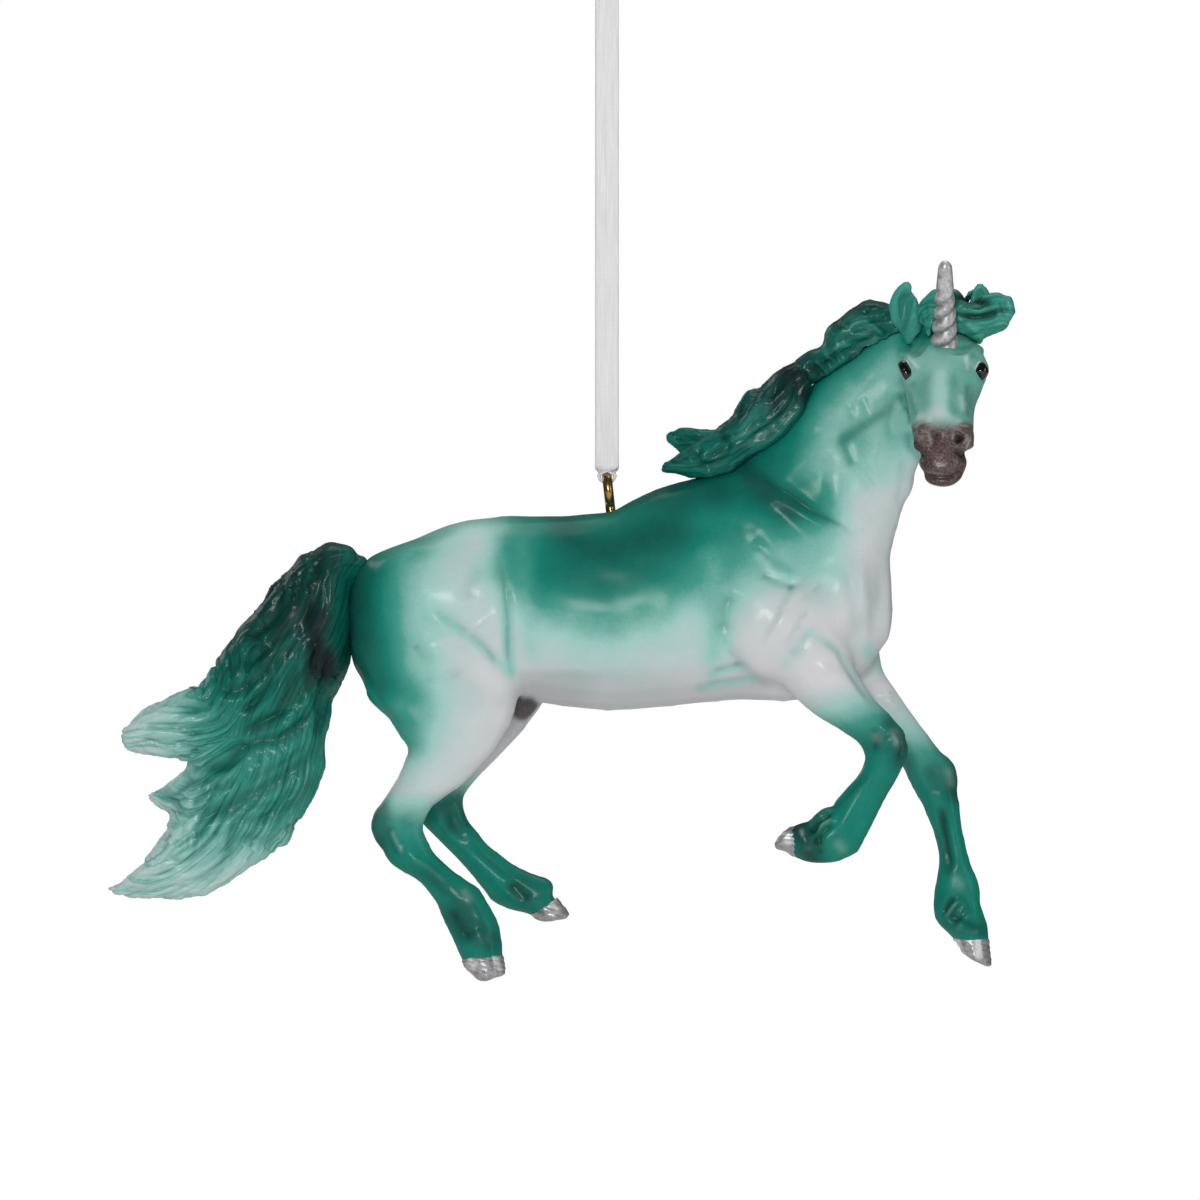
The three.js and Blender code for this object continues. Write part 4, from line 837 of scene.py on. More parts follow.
# Muscle and vein lines: points, width and height in millimetres, side
SEAMS = {
    "flank": (px((500, 551), (504, 576), (506.5, 595), (509, 623), (508, 652), (515, 681)), 0.7, -0.36, BOTH),
    "flank_lip": (px((498, 600), (500, 630), (502, 662)), 0.8, 0.22, BOTH),
    "stifle": (px((427, 606), (454, 622), (479, 641), (498, 662), (511, 673)), 0.8, -0.28, BOTH),
    "stifle_lip": (px((430, 616), (455, 632), (478, 652), (492, 671)), 0.9, 0.2, BOTH),
    "hip": (px((486, 562), (473, 580), (471, 604)), 1.1, -0.3, BOTH),
    "point_of_hip": (px((479, 622), (482, 626)), 1.6, 0.24, BOTH),
    "thigh_a": (px((418, 631), (430, 645), (442, 660)), 0.8, 0.22, BOTH),
    "thigh_b": (px((414, 643), (419, 652), (425, 662)), 0.6, -0.16, BOTH),
    "thigh_c": (px((446, 668), (470, 692), (480, 720)), 1.6, -0.2, BOTH),
    "buttock": (px((358, 664), (368, 687), (386, 712), (408, 734)), 0.9, -0.36, BOTH),
    "belly_fold": (px((528, 676), (580, 684), (640, 686), (700, 684)), 1.4, -0.12, BOTH),
    "ribs_a": (px((711, 673), (736, 666), (743, 665)), 0.5, -0.24, BOTH),
    "ribs_b": (px((702, 686), (728, 682), (753, 679)), 0.5, -0.24, BOTH),
    "rib_cage_a": (px((524, 560), (527, 610), (524, 660)), 2.6, 0.2, BOTH),
    "rib_cage_b": (px((668, 560), (673, 612), (671, 660)), 3.0, 0.2, BOTH),
    "rib_cage_c": (px((600, 560), (606, 612), (602, 655)), 5.0, -0.16, BOTH),
    "blade": (px((743, 460), (769, 483), (790, 495), (812, 511), (845, 528), (857, 544)), 0.55, -0.42, BOTH),
    "blade_lip": (px((760, 492), (786, 507), (812, 522), (843, 540)), 1.0, 0.25, BOTH),
    "blade_a": (px((752, 540), (770, 556), (790, 570)), 0.7, -0.3, BOTH),
    "blade_b": (px((756, 572), (777, 581), (800, 590)), 0.6, -0.32, BOTH),
    "blade_c": (px((752, 543), (780, 565), (806, 586)), 0.7, 0.24, BOTH),
    "shoulder_ball": (px((798, 584), (806, 594)), 2.4, 0.26, BOTH),
    "shoulder_ball_b": (px((762, 626), (794, 623), (802, 612)), 1.8, 0.24, BOTH),
    "behind_ball": (px((733, 589), (723.5, 614), (725, 637)), 1.2, -0.36, BOTH),
    "behind_ball_b": (px((725, 640), (736, 661), (750, 676), (778, 694)), 0.8, -0.3, BOTH),
    "triceps": (px((812, 629), (802, 640), (788, 660)), 1.2, -0.24, NEAR),
    "triceps_lip": (px((800, 628), (790, 642), (778, 660)), 1.2, 0.14, NEAR),
    "forearm_top": (px((809, 631), (837, 649), (843, 659), (862, 691), (882, 707)), 0.6, -0.32, NEAR),
    "forearm_mid": (px((815, 661), (836, 678), (857, 696)), 0.9, 0.26, NEAR),
    "chest": (px((844, 560), (852, 600), (860, 641)), 0.9, -0.26, NEAR),
    "chest_b": (px((868, 560), (874, 610), (872, 650)), 0.8, -0.2, NEAR),
    "neck_band": (px((842, 444), (858, 428), (874, 418), (890, 408)), 2.0, -0.1, BOTH),
    "jugular": (px((843, 442), (849, 454), (855, 468)), 0.8, -0.2, BOTH),
    "wrinkle_a": (px((861, 396), (865, 405), (869, 416)), 0.3, -0.13, NEAR),
    "wrinkle_b": (px((849, 402), (851, 410), (854, 420)), 0.3, -0.11, NEAR),
    "cord_a": (px((811, 412), (815, 422), (817, 432)), 0.7, 0.1, NEAR),
    "cord_b": (px((827, 458), (824, 480), (827, 500)), 1.0, 0.12, NEAR),
    "cord_c": (px((838, 468), (839, 486), (842, 504)), 0.8, 0.1, NEAR),
    "cord_d": (px((878, 440), (875, 455), (871, 468)), 0.45, 0.14, NEAR),
    "cord_e": (px((869, 468), (864, 480), (857, 494)), 0.5, 0.15, NEAR),
    "cross_a": (px((865, 472), (871, 480), (877, 488)), 0.28, -0.16, NEAR),
    "cross_b": (px((860, 476), (866, 485), (871, 492)), 0.28, -0.14, NEAR),
    "spot_a": (px((851, 492), (856, 503)), 0.7, 0.12, NEAR),
    "spot_b": (px((861, 508), (866, 528)), 1.0, 0.16, NEAR),
    "hollow_a": (px((836, 448), (831, 470), (834, 500)), 1.0, -0.14, NEAR),
    "hollow_b": (px((850, 470), (848, 490), (852, 512)), 0.8, -0.14, NEAR),
    "shoulder_dome": (px((778, 610), (800, 622)), 4.2, 0.6, BOTH),
    "thigh_dome": (px((430, 640), (446, 680)), 5.0, 0.4, BOTH),
    "jaw": (px((897, 388), (889, 423), (894, 442)), 0.7, -0.3, NEAR),
    "throat": (px((905, 452), (903, 480), (898, 510)), 0.7, -0.2, NEAR),
}
# Pressed lines get a dark wash and painted shade
for line, width, height, side in SEAMS.values():
    hide.stroke(line, width, height, side, wash_and_shade=max(0, -0.45 * height))

# Legs: hocks, knees, tendons and fetlocks, on the near or the far pair by their distance in y
NEAR_LEG, FAR_LEG = (-30, 0), (0, 30)
LEG_LINES = {
    "gaskin": (px((392, 760), (384, 790), (380, 812)), 0.9, -0.22, NEAR_LEG),
    "hock_back": (px((378, 805), (377, 830), (384, 850)), 0.6, 0.2, NEAR_LEG),
    "hock_line": (px((391, 826), (396, 844), (406, 855)), 0.5, 0.3, NEAR_LEG),
    "hock_hollow": (px((388, 822), (394, 842), (400, 856)), 0.7, -0.26, NEAR_LEG),
    "hock_front": (px((404, 812), (414, 828)), 1.0, -0.14, NEAR_LEG),
    "cannon": (px((405, 853), (428, 866), (452, 886)), 0.5, 0.26, NEAR_LEG),
    "cannon_groove": (px((408, 866), (430, 880), (448, 896)), 0.5, -0.2, NEAR_LEG),
    "fetlock_a": (px((450, 906), (460, 926), (474, 940)), 0.8, -0.36, NEAR_LEG),
    "fetlock_b": (px((466, 890), (474, 902), (486, 925)), 1.0, 0.22, NEAR_LEG),
    "pastern": (px((476, 928), (486, 946)), 0.7, 0.2, NEAR_LEG),
    "far_hock": (px((449, 806), (454, 826), (470, 842)), 0.8, -0.24, FAR_LEG),
    "far_cannon": (px((470, 842), (490, 860), (514, 880)), 0.6, -0.2, FAR_LEG),
    "far_fetlock": (px((508, 880), (519, 892), (530, 902)), 0.8, -0.34, FAR_LEG),
    "knee_a": (px((873, 725), (876, 740), (870, 752)), 0.5, -0.28, NEAR_LEG),
    "knee_b": (px((889, 725), (901, 740), (899, 761)), 0.5, -0.3, NEAR_LEG),
    "knee_high": (px((878, 733), (889, 731), (900, 754)), 0.7, 0.24, NEAR_LEG),
    "tendon": (px((872, 770), (852, 804), (836, 836)), 0.7, 0.2, NEAR_LEG),
    "tendon_groove": (px((868, 772), (845, 796), (824, 816)), 0.5, -0.22, NEAR_LEG),
    "feather_a": (px((836, 800), (819, 808), (805, 822)), 0.4, -0.4, NEAR_LEG),
    "feather_b": (px((834, 811), (819, 820), (810, 836)), 0.4, -0.42, NEAR_LEG),
    "feather_c": (px((834, 822), (822, 831), (814, 846)), 0.4, -0.34, NEAR_LEG),
    "feather_d": (px((824, 800), (809, 809), (798, 817)), 0.36, -0.34, NEAR_LEG),
    "feather_lip_a": (px((836, 805), (819, 814), (807, 829)), 0.42, 0.3, NEAR_LEG),
    "feather_lip_b": (px((835, 816), (821, 825), (812, 841)), 0.42, 0.28, NEAR_LEG),
    "feather_lip_c": (px((829, 801), (813, 809), (801, 819)), 0.36, 0.26, NEAR_LEG),
    "coffin": (px((798, 822), (804, 838), (808, 856)), 1.3, 0.42, NEAR_LEG),
    "coffin_edge": (px((812, 822), (818, 840), (822, 860)), 0.5, -0.26, NEAR_LEG),
    "far_forearm": (px((882, 689), (890, 700), (899, 714)), 0.8, 0.26, FAR_LEG),
    "far_knee_a": (px((926, 764), (932, 780), (938, 796)), 0.8, -0.2, FAR_LEG),
    "far_knee_b": (px((942, 752), (950, 770), (950, 792)), 1.1, 0.22, FAR_LEG),
    "far_tendon": (px((940, 804), (946, 840), (953, 872)), 0.5, -0.32, FAR_LEG),
    "far_cannon_ridge": (px((952, 806), (957, 840), (962, 872)), 0.6, 0.14, FAR_LEG),
    "far_curl_a": (px((958, 896), (950, 904), (943, 916)), 0.42, -0.42, FAR_LEG),
    "far_curl_b": (px((964, 902), (956, 911), (948, 922)), 0.42, -0.4, FAR_LEG),
    "far_curl_c": (px((969, 908), (961, 917), (952, 925)), 0.36, -0.3, FAR_LEG),
    "far_curl_lip": (px((961, 899), (953, 908), (945, 919)), 0.4, 0.3, FAR_LEG),
    "far_roll": (px((954, 924), (968, 930), (983, 930)), 1.1, 0.34, FAR_LEG),
    "far_fold_a": (px((954, 894), (966, 900), (972, 914)), 0.5, -0.24, FAR_LEG),
    "chestnut_a": (px((884, 692), (890, 698)), 0.3, 0.2, FAR_LEG),
    "chestnut_b": (px((887, 700), (893, 706)), 0.3, 0.18, FAR_LEG),
    "forearm_cord": (px((836, 668), (852, 686), (866, 704)), 0.8, 0.2, NEAR_LEG),
    "knee_cap": (px((884, 736), (892, 748)), 1.8, 0.3, NEAR_LEG),
    "far_fold_b": (px((950, 918), (964, 920), (980, 930)), 0.5, -0.24, FAR_LEG),
}
# Pressed lines get a dark wash and painted shade
for line, width, height, box in LEG_LINES.values():
    hide.stroke(line, width, 1.35 * height, BOTH, box, wash_and_shade=max(0, -1.5 * height))

# Face, seen from the front
FACE = (-40, 3)
FACE_LINES = {
    "bridge": (seen_at(AT_CHEEK, (942, 352), (940, 390), (939, 424)), 1.5, 0.2),
    "bridge_right": (seen_at(AT_BRIDGE, (927, 366), (923, 392), (924, 420)), 0.9, -0.3),
    "bridge_left": (seen_at(AT_BRIDGE, (957, 366), (957, 394), (958, 420)), 0.9, -0.3),
    "brow_right": (seen_at(AT_BROW, (898, 356), (906, 354), (918, 366)), 0.7, 0.6),
    "brow_left": (seen_at(AT_BROW, (968, 366), (972, 352), (982, 348), (990, 357)), 0.8, 0.55),
    "temple_right": (seen_at(AT_BROW, (915, 345), (924, 352)), 1.5, -0.35),
    "temple_left": (seen_at(AT_BROW, (962, 342), (962, 356)), 1.3, -0.4),
    "socket_left": (seen_at(AT_BROW, (972, 372), (970, 360), (978, 353)), 0.4, -0.3),
    "lid_right": (seen_at(AT_LIDS, (899, 384), (905, 386), (913, 374)), 0.5, 0.26),
    "lid_left": (seen_at(AT_LIDS, (973, 378), (980, 383), (988, 377)), 0.5, 0.24),
    "tear_right": (seen_at(AT_TEMPLE, (910, 378), (916, 388), (921, 402)), 0.5, -0.22),
    "tear_left": (seen_at(AT_TEMPLE, (972, 382), (968, 392), (966, 404)), 0.5, -0.22),
    "cheek_right": (seen_at(AT_CHEEK, (907, 388), (911, 404), (914, 420)), 0.5, -0.3),
    "cheek_fold": (seen_at(AT_TEMPLE, (900, 388), (904, 404), (912, 416), (908, 428)), 0.35, -0.24),
    "cheek_left": (seen_at(AT_CHEEK, (977, 388), (972, 404), (969, 420)), 0.5, -0.24),
    "cheek_bone": (seen_at(AT_BRIDGE, (912, 380), (917, 396), (918, 412)), 0.9, 0.3),
    "cheek_bone_left": (seen_at(AT_BRIDGE, (966, 384), (963, 398), (962, 412)), 0.9, 0.3),
}
# Pressed lines get a dark wash and painted shade
for line, width, height in FACE_LINES.values():
    hide.stroke(line, width, height, NEAR, FACE, wash_and_shade=0.3 if height < 0 else 0)
NOSE = (-40, -13)
# Lines of the nose: points, width, height, dark wash and painted shade
NOSE_LINES = {
    "lobe_right": (seen_at(AT_NOSE, (920, 434), (924, 442)), 1.3, 0.4, 0),
    "lobe_left": (seen_at(AT_NOSE, (966, 434), (967, 443)), 1.1, 0.35, 0),
    "rim_right": (seen_at(AT_NOSE, (913, 431), (918, 425), (925, 422), (933, 421)), 0.35, 0.25, 0),
    "rim_left": (seen_at(AT_NOSE, (957, 425), (964, 423), (970, 428), (972, 437)), 0.35, 0.25, 0),
    "nostril_right": (seen_at(AT_NOSE, (913, 436), (916, 445), (922, 451)), 0.5, -0.35, 0.75),
    "inside_right": (seen_at(AT_NOSE, (937, 428), (937, 440), (931, 450)), 0.7, -0.3, 0.25),
    "nostril_left": (seen_at(AT_NOSE, (961, 433), (959, 438), (962, 443)), 0.62, -1.2, 1.0),
    "ring_left": (seen_at(AT_NOSE, (957, 430), (954.5, 438), (958, 447), (966, 452)), 0.35, 0.3, 0),
    "under_left": (seen_at(AT_NOSE, (954, 447), (960, 453), (968, 454), (976, 449)), 0.45, -0.5, 0.7),
    "notch_right": (seen_at(AT_NOSE, (908, 451), (916, 456), (926, 455)), 0.55, -0.7, 0.7),
    "notch_left": (seen_at(AT_NOSE, (978, 453), (968, 457), (960, 460)), 0.5, -0.5, 0.5),
    "lip": (seen_at(AT_NOSE, (917, 466), (925, 474), (941, 477), (957, 474), (966, 464)), 0.4, -0.5, 0.95),
    "lip_lower": (seen_at(AT_NOSE, (920, 472), (932, 480), (950, 480), (962, 471)), 0.6, 0.2, 0),
    "lip_upper": (seen_at(AT_NOSE, (926, 462), (942, 469), (958, 462)), 1.2, 0.22, 0),
    "between_nostrils": (seen_at(AT_NOSE, (946, 432), (946, 450)), 1.1, -0.2, 0),
}
for line, width, height, wash_and_shade in NOSE_LINES.values():
    hide.stroke(line, width, height, BOTH, NOSE, wash_and_shade=wash_and_shade)

# Tooled hair: fine lines on the shoulder, the flank, the wrinkles of the neck and the feathers
HAIR_COMBS = [
    (px((748, 470), (786, 500), (850, 536)), 1.4, 0.5, 0.04, BOTH),
    (px((496, 560), (502, 600), (504, 650)), 1.2, 0.42, 0.04, BOTH),
    (px((700, 560), (716, 620), (734, 668)), 1.6, 0.6, 0.035, BOTH),
    (px((804, 812), (830, 846)), 2.0, 0.5, 0.07, NEAR),
    (px((452, 900), (484, 944)), 1.8, 0.55, 0.06, NEAR),
    (px((946, 896), (970, 936)), 1.8, 0.55, 0.06, NEAR),
    (seen_at(AT_EARS, (906, 344), (918, 335), (932, 337)), 1.2, 0.4, 0.09, NEAR),
]
for line, half, pitch, height, side in HAIR_COMBS:
    hide.comb(line, half, pitch, height, side)
hide.rise = hide.blur(hide.rise, 1)
hide.settle()

# Airbrushed tones: points, radius in millimetres, tone (0 pearl, 1 deep green), strength
hide.paint["tone"][:] = 0.03
TONES = {
    "neck_wash": (px((878, 400), (848, 450), (815, 510), (800, 545)), 7.0, 0.5, 0.95),
    "neck_deep": (px((790, 448), (788, 478), (802, 500)), 3.2, 0.68, 0.75),
    "neck_low": (px((838, 468), (852, 490), (866, 505)), 3.0, 0.24, 0.7),
    "neck_pale": (px((838, 398), (832, 425)), 1.8, 0.34, 0.7),
    "crest": (px((892, 332), (845, 354), (812, 384), (790, 422), (774, 455), (766, 490)), 4.6, 0.84, 0.97),
    "shoulder_dark": (px((752, 474), (770, 502), (800, 508)), 4.6, 0.92, 0.94),
    "shoulder_wash": (px((705, 560), (745, 572), (810, 562)), 5.2, 0.38, 0.8),
    "throat": (px((884, 420), (886, 450), (882, 470)), 2.6, 0.3, 0.8),
    "chest": (px((870, 510), (868, 520), (874, 580), (866, 640)), 3.4, 0.08, 0.92),
    "shoulder_white": (px((765, 615), (800, 618), (790, 665)), 5.0, 0.02, 0.95),
    "jaw": (px((893, 396), (900, 440)), 2.4, 0.44, 0.85),
    "back_halo": (px((525, 545), (600, 566), (700, 545)), 10.0, 0.62, 0.92),
    "top_line": (px((550, 508), (600, 500), (655, 492), (712, 474)), 3.4, 0.96, 0.95),
    "saddle": (px((545, 536), (600, 552), (648, 540), (712, 500)), 7.0, 1.0, 0.98),
    "flank_green": (px((536, 524), (540, 566), (544, 590)), 3.0, 0.66, 0.62),
    "saddle_low": (px((552, 580), (596, 590), (640, 578)), 4.6, 0.88, 0.9),
    "saddle_edge": (px((560, 615), (610, 628), (650, 612)), 4.2, 0.5, 0.75),
    "barrel_wash": (px((560, 650), (620, 658), (680, 640)), 3.6, 0.24, 0.6),
    "withers": (px((706, 520), (730, 524), (752, 530)), 3.2, 0.74, 0.8),
    "behind_shoulder": (px((712, 560), (716, 600), (713, 652)), 2.4, 0.46, 0.7),
    "croup": (px((425, 545), (460, 528), (500, 524)), 3.6, 0.46, 0.8),
    "rump_white": (px((474, 545), (452, 582), (474, 612), (440, 602)), 4.0, 0.14, 0.9),
    "tail_side": (px((350, 562), (352, 630), (372, 700)), 9.9, 0.98, 0.98),
    "tail_side_b": (px((350, 575), (352, 640)), 3.4, 1.0, 0.9),
    "stifle": (px((428, 620), (420, 668)), 3.0, 0.36, 0.6),
    "ham": (px((392, 712), (410, 742)), 2.6, 0.6, 0.7),
    "stifle_line": (px((440, 616), (478, 643), (508, 670)), 1.0, 0.44, 0.45),
    "flank_wash": (px((522, 545), (526, 600), (532, 650)), 1.8, 0.42, 0.5),
    "flank_line": (px((505, 556), (508, 620), (513, 672)), 1.0, 0.5, 0.5),
    "buttock_line": (px((366, 684), (386, 712), (408, 734)), 0.9, 0.6, 0.6),
    "thigh_mark": (px((404, 706), (427, 715)), 1.4, 0.45, 0.6),
    "rib_mark": (px((711, 674), (736, 667), (743, 665)), 0.8, 0.42, 0.5),
    "rib_mark_b": (px((700, 687), (728, 683), (753, 679)), 0.8, 0.42, 0.5),
    "ball_edge": (px((733, 592), (723.5, 614), (727, 640)), 1.2, 0.44, 0.55),
    "blade_line": (px((757, 548), (775, 563), (788, 572)), 0.8, 0.5, 0.6),
    "jugular": (px((842, 441), (865, 425), (890, 409)), 0.8, 0.62, 0.6),
    "jugular_b": (px((842, 437), (850, 462)), 0.7, 0.6, 0.5),
    "triceps": (px((810, 631), (798, 648), (786, 664)), 1.0, 0.3, 0.4),
    "forearm": (px((812, 634), (840, 655), (862, 690)), 0.9, 0.3, 0.4),
    "chest_fold": (px((868, 650), (882, 668)), 1.2, 0.4, 0.5),
}
for line, radius, value, strength in TONES.values():
    hide.spray(line, radius, value, strength)

# Green of the legs: the picture heights between which it comes in, leaning with x on the near pair
HIND_LEFT_OF, HIND_BELOW, FORE_RIGHT_OF, FORE_BELOW = 600, 730, 740, 640
NEAR_HIND_FADE, FAR_HIND_FADE, HOCK_X, HOCK_LEAN = (768, 862), (758, 822), 430, 0.25
NEAR_FORE_FADE, FAR_FORE_FADE, KNEE_X, KNEE_LEAN = (668, 762), (676, 800), 840, 0.3
x_px, y_px = hide.picture()
near_half = hide.p[:, 1] < 0
hind = (x_px < HIND_LEFT_OF) & (y_px > HIND_BELOW)
fore = (x_px > FORE_RIGHT_OF) & (y_px > FORE_BELOW)
leg_tone = np.select(
    [hind & near_half, hind, fore & near_half, fore],
    [smooth(y_px + HOCK_LEAN * (HOCK_X - x_px), *NEAR_HIND_FADE), smooth(y_px, *FAR_HIND_FADE),
     smooth(y_px + KNEE_LEAN * (x_px - KNEE_X), *NEAR_FORE_FADE), smooth(y_px, *FAR_FORE_FADE)], 0.0)
hide.darken("tone", 0.8 * leg_tone)
hide.darken("coal", 0.35 * leg_tone * (1 - leg_tone))

# Soft shade under the belly and in the fold before the thigh: top, left and right edges in pixels, coal
UNDER_SHADES = [((650, 700), (500, 520), (740, 790), 0.12), ((664, 676), (514, 524), (570, 630), 0.2)]
for upper_edge, left_edge, right_edge, coal in UNDER_SHADES:
    across_it = smooth(x_px, *left_edge) * smooth(-x_px, -right_edge[1], -right_edge[0])
    hide.darken("coal", coal * smooth(y_px, *upper_edge) * across_it)

# Charcoal shading of the joints, the shoulder and the root of the tail
WHOLE, SHEATH_BOX = (-30, 30), (-4, 4)
SHADES = [
    (px((430, 870), (452, 892), (470, 905)), 1.2, 0.4, NEAR_LEG),
    (px((462, 905), (480, 925), (490, 945)), 1.6, 0.5, NEAR_LEG),
    (px((820, 800), (806, 815), (798, 830)), 1.5, 0.6, NEAR_LEG),
    (px((378, 800), (380, 850)), 1.5, 0.7, NEAR_LEG),
    (px((455, 915), (466, 928)), 2.0, 0.6, NEAR_LEG),
    (px((448, 808), (452, 824)), 1.2, 0.5, FAR_LEG),
    (px((518, 888), (526, 896)), 1.8, 0.5, FAR_LEG),
    (px((873, 737), (899, 752)), 1.8, 0.34, NEAR_LEG),
    (px((889, 722), (903, 742), (899, 760)), 1.4, 0.62, NEAR_LEG),
    (px((794, 820), (806, 840), (810, 860)), 2.3, 0.82, NEAR_LEG),
    (px((935, 770), (952, 790)), 1.6, 0.45, FAR_LEG),
    (px((944, 813), (951, 870)), 0.9, 0.6, FAR_LEG),
    (px((942, 740), (956, 766), (957, 795)), 1.5, 0.7, FAR_LEG),
    (px((470, 930), (492, 938)), 1.6, 0.55, NEAR_LEG),
    (px((384, 815), (378, 840)), 1.2, 0.5, NEAR_LEG),
    (px((456, 800), (468, 822)), 1.6, 0.5, FAR_LEG),
    (px((950, 922), (968, 928), (984, 930)), 1.4, 0.5, FAR_LEG),
    (px((946, 900), (962, 920)), 1.5, 0.25, FAR_LEG),
    (px((748, 470), (762, 490), (790, 512)), 1.8, 0.5, WHOLE),
    (px((842, 441), (865, 425), (890, 409)), 1.0, 0.25, NEAR_LEG),
    (px((345, 560), (350, 640)), 1.6, 0.45, WHOLE),
]
for line, radius, value, box in SHADES:
    hide.spray(line, radius, value, 0.9, "coal", BOTH, box)
LEG_GLINTS = [
    (px((876, 735), (878, 739)), 0.7, 0.16, NEAR_LEG),
    (px((893, 732), (897, 742)), 0.7, 0.18, NEAR_LEG),
    (px((801, 830), (802, 833)), 0.3, 0.3, NEAR_LEG),
    (px((838, 844), (842, 848)), 0.8, 0.14, NEAR_LEG),
    (px((949, 772), (952, 782)), 0.8, 0.12, FAR_LEG),
    (px((958, 881), (961, 885)), 0.8, 0.14, FAR_LEG),
    (px((466, 892), (469, 898)), 0.7, 0.16, NEAR_LEG),
    (px((393, 832), (402, 850)), 0.3, 0.16, NEAR_LEG),
]
for line, radius, value, box in LEG_GLINTS:
    hide.spray(line, radius, value, 0.8, "ridge", NEAR, box)
SHEATH = px((516, 703), (522, 712), (530, 706))
hide.spray(SHEATH, 1.3, 0.9, 0.95, "coal", BOTH, SHEATH_BOX, hard=0.5)
hide.spray(SHEATH, 1.2, 0.6, 0.9, "warm", BOTH, SHEATH_BOX, hard=0.5)

# Tones of the face with painted shade beside the bridge and a painted highlight left of the nose, then the
# green of its far side
FACE_TONES_AND_PAINTED_LIGHT = [
    (seen_at(AT_TEMPLE, (941, 340), (941, 420)), 8.0, 0.4, 0.95),
    (seen_at(AT_EARS, (900, 325), (941, 340), (985, 338)), 2.4, 0.56, 0.9),
    (seen_at(AT_BROW, (903, 352), (912, 356)), 1.2, 0.5, 0.8),
    (seen_at(AT_TEMPLE, (899, 386), (904, 404), (910, 430)), 1.5, 0.42, 0.8),
    (seen_at(AT_TEMPLE, (984, 385), (978, 405), (975, 440)), 1.3, 0.6, 0.9),
    (seen_at(AT_BROW, (986, 345), (980, 352)), 1.5, 0.5, 0.8),
    # Painted shade down both sides of the bridge of the nose
    (seen_at(AT_EYE, (919, 384), (919, 400), (921, 412)), 1.3, 0.46, 0.7),
    (seen_at(AT_EYE, (957, 368), (957, 384), (960, 396)), 1.2, 0.47, 0.7),
    (seen_at(AT_BRIDGE, (942, 376), (940, 420)), 1.4, 0.2, 0.8),
    # A painted highlight on the left side of the nose
    (seen_at(AT_BRIDGE, (965, 396), (964, 410)), 0.6, 0.12, 0.7),
    (seen_at(AT_EARS, (908, 340), (917, 333), (930, 332)), 1.3, 0.95, 0.95),
    (seen_at(AT_NOSE_TOP, (922, 418), (941, 412), (960, 417)), 0.8, 0.06, 0.8),
]
BROW_SPRAY = px((926, 330), (936, 396))
HEAD_RIGHT_OF, HEAD_ABOVE, HEAD_NEARER = 885, 492, -2
CHEEK_BEFORE, POLL_RIGHT_OF, POLL_ABOVE, FAR_TURNED = (5, 9), (866, 892), (-450, -385), (-0.1, 0.5)
head_zone = (hide.p[:, 1] < HEAD_NEARER) & (x_px > HEAD_RIGHT_OF) & (y_px < HEAD_ABOVE)
hide.spray(BROW_SPRAY, 4.6, 0.44, 0.85)
for line, radius, value, strength in FACE_TONES_AND_PAINTED_LIGHT:
    hide.spray(line, radius, value, strength, "tone", NEAR, FACE)
cheek = head_zone * smooth(-hide.p[:, 1], *CHEEK_BEFORE)
poll = smooth(x_px, *POLL_RIGHT_OF) * smooth(-y_px, *POLL_ABOVE)
hide.darken("tone", 0.46 * np.maximum(cheek, poll) * smooth(hide.n[:, 0], *FAR_TURNED))
soft_tone = hide.blur(hide.paint["tone"], 14)
hide.paint["tone"] += head_zone * (soft_tone - hide.paint["tone"])

# Brown muzzle: below a line across the nose, round both nostrils and over the chin (pixels)
MUZZLE_BELOW, MUZZLE_X, MUZZLE_HALF, CHIN_BELOW = (413, 434), 941, (-26, -10), (446, 451)
MUZZLE_LOBES = ((923, 437, 15), (965, 437, 14))
MUZZLE_BEFORE = (13, 16)
nose_share = 1 + AT_NOSE * MM / CAMERA_DISTANCE
front_x, front_y = [c + (p - c) * nose_share for c, p in zip(LENS_CENTRE, (x_px, y_px))]
muzzle = smooth(front_y, *MUZZLE_BELOW) * smooth(-np.abs(front_x - MUZZLE_X), *MUZZLE_HALF)
for lobe_x, lobe_y, reach in MUZZLE_LOBES:
    from_lobe = np.hypot(front_x - lobe_x, front_y - lobe_y)
    muzzle = np.maximum(muzzle, smooth(-from_lobe, -reach - 3, -reach + 1))
muzzle = np.maximum(muzzle, smooth(front_y, *CHIN_BELOW)) * head_zone * smooth(-hide.p[:, 1], *MUZZLE_BEFORE)
hide.darken("warm", hide.blur(muzzle, 7))
GLINTS = [
    (seen_at(AT_BROW, (909, 358), (918, 367)), 0.3, 0.5),
    (seen_at(AT_BROW, (967, 358), (968, 368)), 0.35, 0.6),
    (seen_at(AT_NOSE, (915, 427), (921, 423), (932, 421)), 0.16, 0.3),
    (seen_at(AT_NOSE, (929, 433), (931, 443)), 0.25, 0.24),
    (seen_at(AT_NOSE, (943, 433), (944, 436)), 0.2, 0.25),
    (seen_at(AT_NOSE, (954, 432), (953, 439)), 0.16, 0.28),
    (seen_at(AT_NOSE, (970, 440), (967, 448)), 0.2, 0.28),
    (seen_at(AT_NOSE, (961, 425), (968, 426)), 0.16, 0.26),
    (seen_at(AT_NOSE, (928, 472), (941, 474), (954, 472)), 0.12, 0.16),
    (seen_at(AT_BRIDGE, (962, 398), (963, 408)), 0.5, 0.35),
]
for line, radius, value in GLINTS:
    hide.spray(line, radius, value, 0.85, "ridge", NEAR, FACE)
